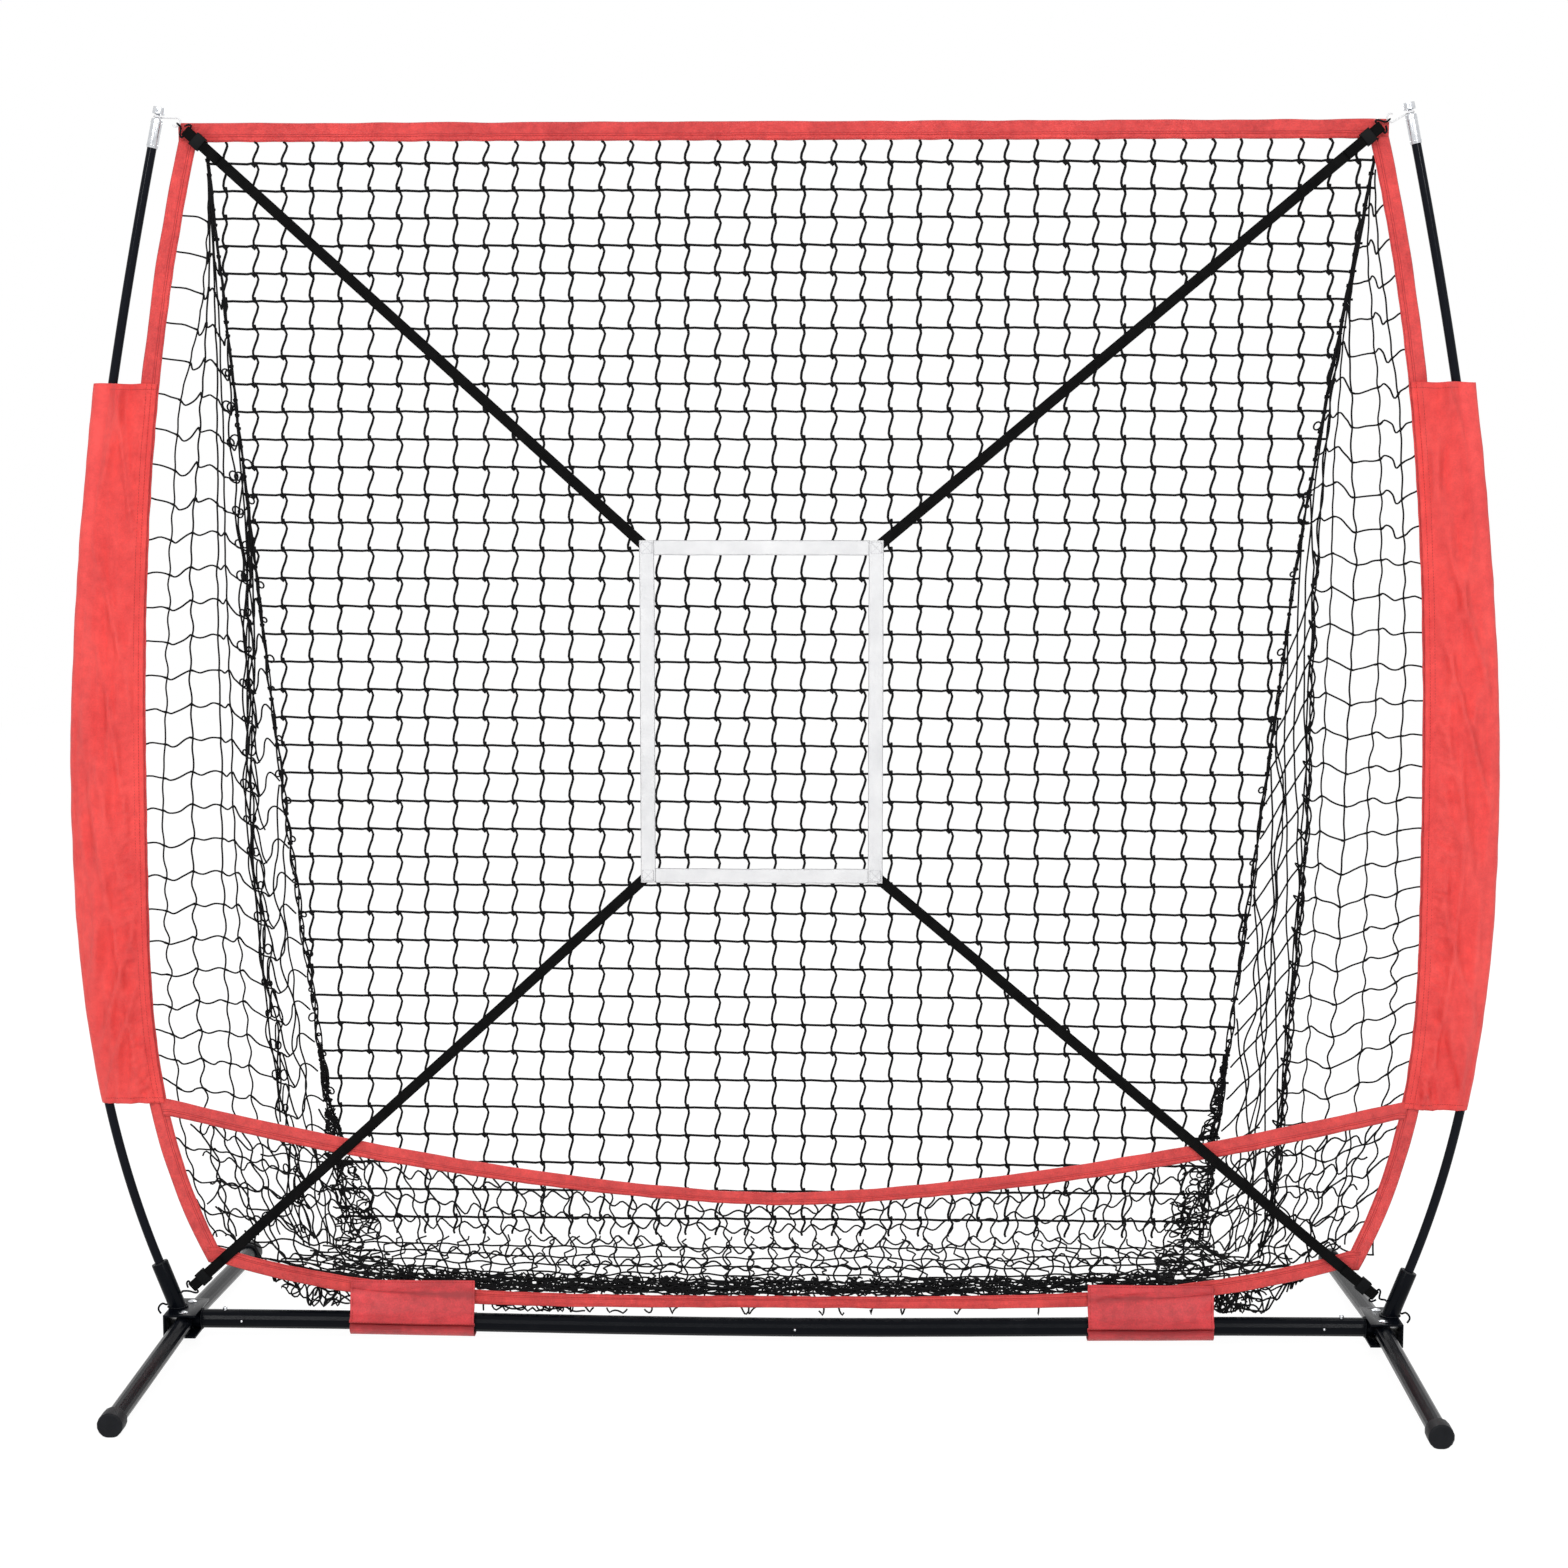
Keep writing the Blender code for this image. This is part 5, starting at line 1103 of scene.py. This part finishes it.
for side in (-1, 1):
    def tangle(a, b):
        """a runs across the tangle and b down it, both in metres."""
        b = folded(b, TANGLE_LENGTH)
        low, high, y, z = along_path(TANGLE[side], b / TANGLE_LENGTH)
        x = low + folded(a, max(high - low, 0.004))
        return Vector((x, y - 0.008 * abs(ripple(a * 30, b * 30, 2.0)), z + 0.01 * abs(ripple(a * 41, b * 41))))

    for n in range(58 if side < 0 else 70):
        slack_twine(heap, tangle, (0.11 * spread(n), TANGLE_LENGTH * spread(n, 0.377) ** 0.9),
                    1.3 + n * 2.4, 0.14, 1.25, n * 1.7 + side * 40)

    def low_corner(a, b):
        """Loose netting in the low corner of the bag, behind the two hems."""
        x = side * min(max(abs(a), 0.6), 0.9)
        return Vector((x, 0.016 + 0.03 * abs(ripple(a * 9, b * 9, 4.0)), max(b, bottom_edge(x) - 0.006)))

    for n in range(10):
        x = side * mix(0.64, 0.86, spread(n))
        slack_twine(heap, low_corner, (x, mix(bottom_edge(x) + 0.01, pocket_edge(x) - 0.05, spread(n, 0.377))),
                    n * 1.9, 0.15, 0.75, n * 2.3 + side * 9)

    def under_hem(a, b):
        """Slack netting that hangs from the bottom hem to the crossbar, shorter towards the corner."""
        x = 0.658 + folded(abs(a) - 0.658, 0.14)
        low = mix(0.05, 0.108, unit((x - 0.735) / 0.065))
        high = bottom_edge(x) - 0.006
        z = low + folded(b - low, max(high - low, 0.004))
        return Vector((side * x, 0.012 + 0.014 * abs(ripple(a * 20, b * 20)), z))

    for n in range(17 if side < 0 else 26):
        x = side * mix(0.662, 0.79 if n % 2 else 0.72, spread(n))
        slack_twine(heap, under_hem, (x, 0.062 + 0.03 * spread(n, 0.377)), n * 1.7, 0.13, 1.0, n * 3.1 + side * 5)


def scrap_point(x, z):
    """Netting that hangs a little below the bottom hem between the two flaps."""
    x = max(-0.455, min(0.455, x))
    low, high = bar_z(x) + BAR_RADIUS + 0.0022, bottom_edge(x) - 0.01
    return Vector((x, 0.006 + 0.01 * abs(ripple(x * 30, z * 30)), low + folded(z - low, high - low)))


for n in range(24):
    x = mix(-0.44, 0.44, spread(n)) if n < 16 else mix(-0.455, -0.36, n / 23)
    slack_twine(heap, scrap_point, (x, 0.055), n * 2.2, 0.045 if n < 16 else 0.11, 0.8, n * 1.9)
add_curve(heap)

# ---------------- strike zone
# Four lengths of flat white webbing, 22 mm wide, lapped at the corners and sewn with a boxed cross.
BAND_UV = 0.1
ZONE_X, ZONE_Z, ZONE_WIDE, ZONE_HIGH, ZONE_BAND = -0.028, 0.966, 0.362, 0.511, 0.022
STRAP_PLANE, STRAP_LOOP = -0.0083, 0.0026

white_webbing, tree = finish("white_webbing")
apart = tree.node("SeparateXYZ", sockets={0: tree.node("UVMap")})
ribs = tree.math("SINE", apart * (tau / 0.0011))
herring = tree.math("SINE", apart.other(1) * (tau / 0.0022) + ribs * 1.2)
soil = grain(tree, 30.0, 4.0)
# Painted shade: a dark grey line along both edges of each band, standing in for the shade on the webbing's rounded
# edges.
from_edge = abs(tree.math("FRACT", apart.other(1) * (2 / BAND_UV) + 0.5) - 0.5)
painted_edge_shade = tree.math("SUBTRACT", 1.0, from_edge * 9.0, clamp=True)
tone = tree.math("MULTIPLY", soil * 0.5 + 0.5 + herring * 0.05 - painted_edge_shade * 0.9, 1.0, clamp=True)
principled(tree, tone, (0.46, 0.47, 0.5), (0.95, 0.95, 0.955),
           Roughness=0.8, Sheen_Weight=0.1, Normal=bump(tree, ribs * 0.6 + herring, 0.00016))

white_thread = thread_look("white_thread", (0.5, 0.5, 0.52), (0.8, 0.8, 0.82))


def sweep(name, path, across, profile, length, look):
    """A closed band: profile pairs (across, off the face) carried along a path."""
    steps, around = len(path) - 1, len(profile)

    def place(u, v):
        i = round(u * steps)
        along = (path[min(i + 1, steps)] - path[max(i - 1, 0)]).normalized()
        off = along.cross(across).normalized()
        wide, high = profile[round(v * around) % around]
        return path[i] + across * wide + off * high

    return lay_out(name, steps, around, (length, BAND_UV), place, look, seam=True)


def band_profile(width, sheet):
    """Section of flat webbing: rounded edges and a slight crown, evenly spaced from edge to edge."""
    half, thin = width / 2, sheet / 2
    face = [(-half + 0.0005, thin * 0.72)]
    face += [(mix(-half * 0.9, half * 0.9, k / 6), thin + (0.0001 if 0 < k < 6 else 0.0)) for k in range(7)]
    face += [(half - 0.0005, thin * 0.72)]
    return [(-half, 0.0)] + face + [(half, 0.0)] + [(wide, -high) for wide, high in reversed(face)]


def zone_corner(side, level, y):
    return Vector((ZONE_X + side * (ZONE_WIDE - ZONE_BAND) / 2, y, ZONE_Z + level * (ZONE_HIGH - ZONE_BAND) / 2))


zone_y = STRAP_PLANE + STRAP_LOOP - 0.0018
corners = [zone_corner(side, level, zone_y) for side, level in ((-1, -1), (1, -1), (1, 1), (-1, 1))]
zone_stitches = thread_curve("zone_stitches", 0.0004, white_thread, 0)
for i, name in enumerate(("low", "right", "top", "left")):
    a, b = corners[i], corners[(i + 1) % 4]
    way = (b - a).normalized()
    across = way.cross(Vector((0, 1, 0)))
    lift = Vector((0.0, -0.0006 if i % 2 else 0.0006, 0.0))
    a, b = a - way * ZONE_BAND / 2 + lift, b + way * ZONE_BAND / 2 + lift
    path = []
    for m in range(91):
        arch = sin(pi * m / 90)
        bow = 0.0022 * arch * ripple(i * 3.7, 1.0) + 0.0005 * ripple(m * 0.13, i * 3.0)
        path.append(mix(a, b, m / 90) + Vector((0, 0.0008 * ripple(m * 0.21, i * 5.0) * arch, 0)) + across * bow)
    piece = sweep("zone_band_" + name, path, across, band_profile(ZONE_BAND, 0.0011), (b - a).length,
                  white_webbing)
    if i == 0:
        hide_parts("strike_zone_frame")
    half = ZONE_BAND / 2 - 0.0028
    box = [(-half, -half), (half, -half), (half, half), (-half, half), (-half, -half), (half, half), (half, -half),
           (-half, half)]
    for (ax, az), (bx, bz) in zip(box, box[1:]):
        count = max(3, int(hypot(bx - ax, bz - az) / 0.003))
        for k in range(count):
            strand(zone_stitches, [corners[i] + Vector((mix(ax, bx, (k + t) / count), -0.0016,
                                                        mix(az, bz, (k + t) / count))) for t in (0.15, 0.5, 0.85)])
add_curve(zone_stitches)

# ---------------- straps
# Ribbed black elastic webbing, 16 mm wide, from the strike zone's corners to the frame's corners; each loops
# through its hook, and its tail comes back through a slider.
black_webbing, tree = finish("black_webbing")
apart = tree.node("SeparateXYZ", sockets={0: tree.node("UVMap")})
cross_ribs = tree.math("SINE", apart * (tau / 0.0016))
long_ribs = tree.math("SINE", apart.other(1) * (tau / 0.005))
wear = grain(tree, 70.0, 4.0)
principled(tree, wear + long_ribs * 0.15, (0.002, 0.002, 0.0023), (0.009, 0.009, 0.009),
           Roughness=0.8, Specular_IOR_Level=0.04, Normal=bump(tree, cross_ribs * 0.5 + long_ribs, 0.0003))

slider_black, tree = finish("slider_black")
rub = grain(tree, 300.0, 3.0)
principled(tree, rub, (0.002, 0.0023, 0.0026), (0.006, 0.0066, 0.0072),
           Roughness=0.42 + 0.2 * rub, Specular_IOR_Level=0.07, Normal=bump(tree, rub, 0.0001))


def corner_eye(side):
    """Where a top hook and the cord meet at the net's top corner."""
    return Vector((side * 0.886, STRAP_PLANE, 1.832))


def strap_line(side, level):
    """A strap's length, hook bar, and directions out and across; level is 1 for a top strap and -1 for a low one."""
    zone = zone_corner(side, level, STRAP_PLANE)
    bar = corner_eye(side) if level > 0 else Vector((side * 0.897, STRAP_PLANE, 0.0865))
    out = (bar - zone).normalized()
    if level > 0:
        bar -= out * 0.021
    return (bar - zone).length, bar, out, flat_point(-out.z, out.x)


for side, hand in SIDES:
    for level, level_name in ((1, "top_"), (-1, "low_")):
        length, bar, out, across = strap_line(side, level)
        path = [(-length + length * m / 60, STRAP_LOOP) for m in range(60)]
        path += [(STRAP_LOOP * sin(pi * m / 12), STRAP_LOOP * cos(pi * m / 12)) for m in range(13)]
        path += [(-0.062 * m / 8, -STRAP_LOOP) for m in range(1, 9)]
        points = [bar + out * a + Vector((0, y, 0)) for a, y in path]
        piece = sweep("webbing_" + level_name + hand, points, across, band_profile(0.016, 0.0014),
                      length + 0.07, black_webbing)
        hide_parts("strap_" + level_name + hand)
        eased("slider_" + level_name + hand, "adjuster_" + level_name + hand, 0.0006, slider_black,
              level_name + hand + "_slider")

# ---------------- hooks and corner cords
# Bent black wire hooks at the straps' ends, and the pale elastic cords that tie the net's top corners to the
# crowns of the poles.
elastic_sleeve, tree = finish("elastic_sleeve")
braid = grain(tree, 1100.0, 2.0)
principled(tree, braid, (0.62, 0.62, 0.63), (0.86, 0.86, 0.87), Roughness=0.75,
           Normal=bump(tree, braid, 0.0002))

HOOK_WIRE = 0.0015
CORD_WIRE = 0.0013
CORD_EYE = 0.0065
TIP_NECK = 0.046
NECK_RADIUS = 0.003
SOCKET_RADIUS = 0.013
HOOK_END = ((0.0385, -0.001, 0.057), (0.0435, -0.0022, 0.053), (0.0446, -0.0022, 0.0475), (0.041, -0.0022, 0.0415))


def bent_line(points):
    """A rounded line through a list of points."""
    count = (len(points) - 1) * 8
    return [Vector(along_path(points, i / count)) for i in range(count + 1)]


def hook_eye(bar, out, across):
    """Points of a hook's wire eye, from its free end round to the shank."""
    half, length = 0.01075, 0.01
    local = [(length * 0.75, -0.0036), (length * 0.42, -half * 0.92)]
    local += [(0.0, half * share) for share in (-1.0, -0.5, 0.0, 0.5, 1.0)]
    local += [(length * 0.42, half * 0.92), (length, 0.0012)]
    return [bar + out * a + across * b for a, b in local]


def round_post(centre, side, up, radius, degrees):
    """A point beside a leaning post: 0 degrees faces the middle of the net and 90 degrees its rear."""
    turn = radians(degrees)
    return centre + radius * (cos(turn) * flat_point(-side * up.z, side * up.x) + Vector((0, sin(turn), 0)))


for side, hand in SIDES:
    _, bar, out, across = strap_line(side, 1)
    curl = CORD_WIRE + HOOK_WIRE + 0.0006
    points = hook_eye(bar, out, across)
    for degrees in (100, 60, 0, -60, -110):
        turn = radians(degrees)
        points.append(bar + out * (0.0145 + curl * cos(turn)) - Vector((0, curl * sin(turn), 0)))
    add_wire("wire_hook_top_" + hand, HOOK_WIRE, powder_coat, bent_line(points),
             "hook_top_" + hand)

    eye = corner_eye(side)
    up = leaning(side, TIP_LEAN)
    neck = flat_point(side * POLE_TOP_X, POLE_TOP_Z) + up * TIP_NECK
    toward = flat_point(neck.x - eye.x, neck.z - eye.z).normalized()
    start = atan2(toward.dot(across), toward.dot(out))
    points = []
    for k in range(9):
        turn = start + radians(mix(55, 305, k / 8))
        flat = eye + CORD_EYE * (cos(turn) * out + sin(turn) * across)
        points.append(Vector((flat.x, mix(STRAP_PLANE, -0.0028, (1 + cos(turn)) / 2), flat.z)))
    points += [round_post(neck, side, up, NECK_RADIUS + CORD_WIRE + 0.0009, degrees)
               for degrees in (60, 100, 145, 190, 235, 280, 325)]
    add_wire("corner_elastic_" + hand, CORD_WIRE, elastic_sleeve, bent_line(points),
             "corner_cord_" + hand)

    _, bar, out, across = strap_line(side, -1)
    points = hook_eye(bar, out, across)
    mouth = flat_point(side * SOCKET_MOUTH.x, SOCKET_MOUTH.z)
    up = leaning(side, SOCKET_LEAN)
    for k, degrees in enumerate((10, 50, 90, 130, 168)):
        centre = mouth + up * ((mix(0.07, 0.06, k / 4) - SOCKET_MOUTH.z) / up.z)
        points.append(round_post(centre, side, up, SOCKET_RADIUS + HOOK_WIRE + 0.0012, degrees))
    points += [Vector((side * (HUB_X + x), y, z)) for x, y, z in HOOK_END]
    add_wire("wire_hook_low_" + hand, HOOK_WIRE, powder_coat, bent_line(points),
             "hook_low_" + hand)
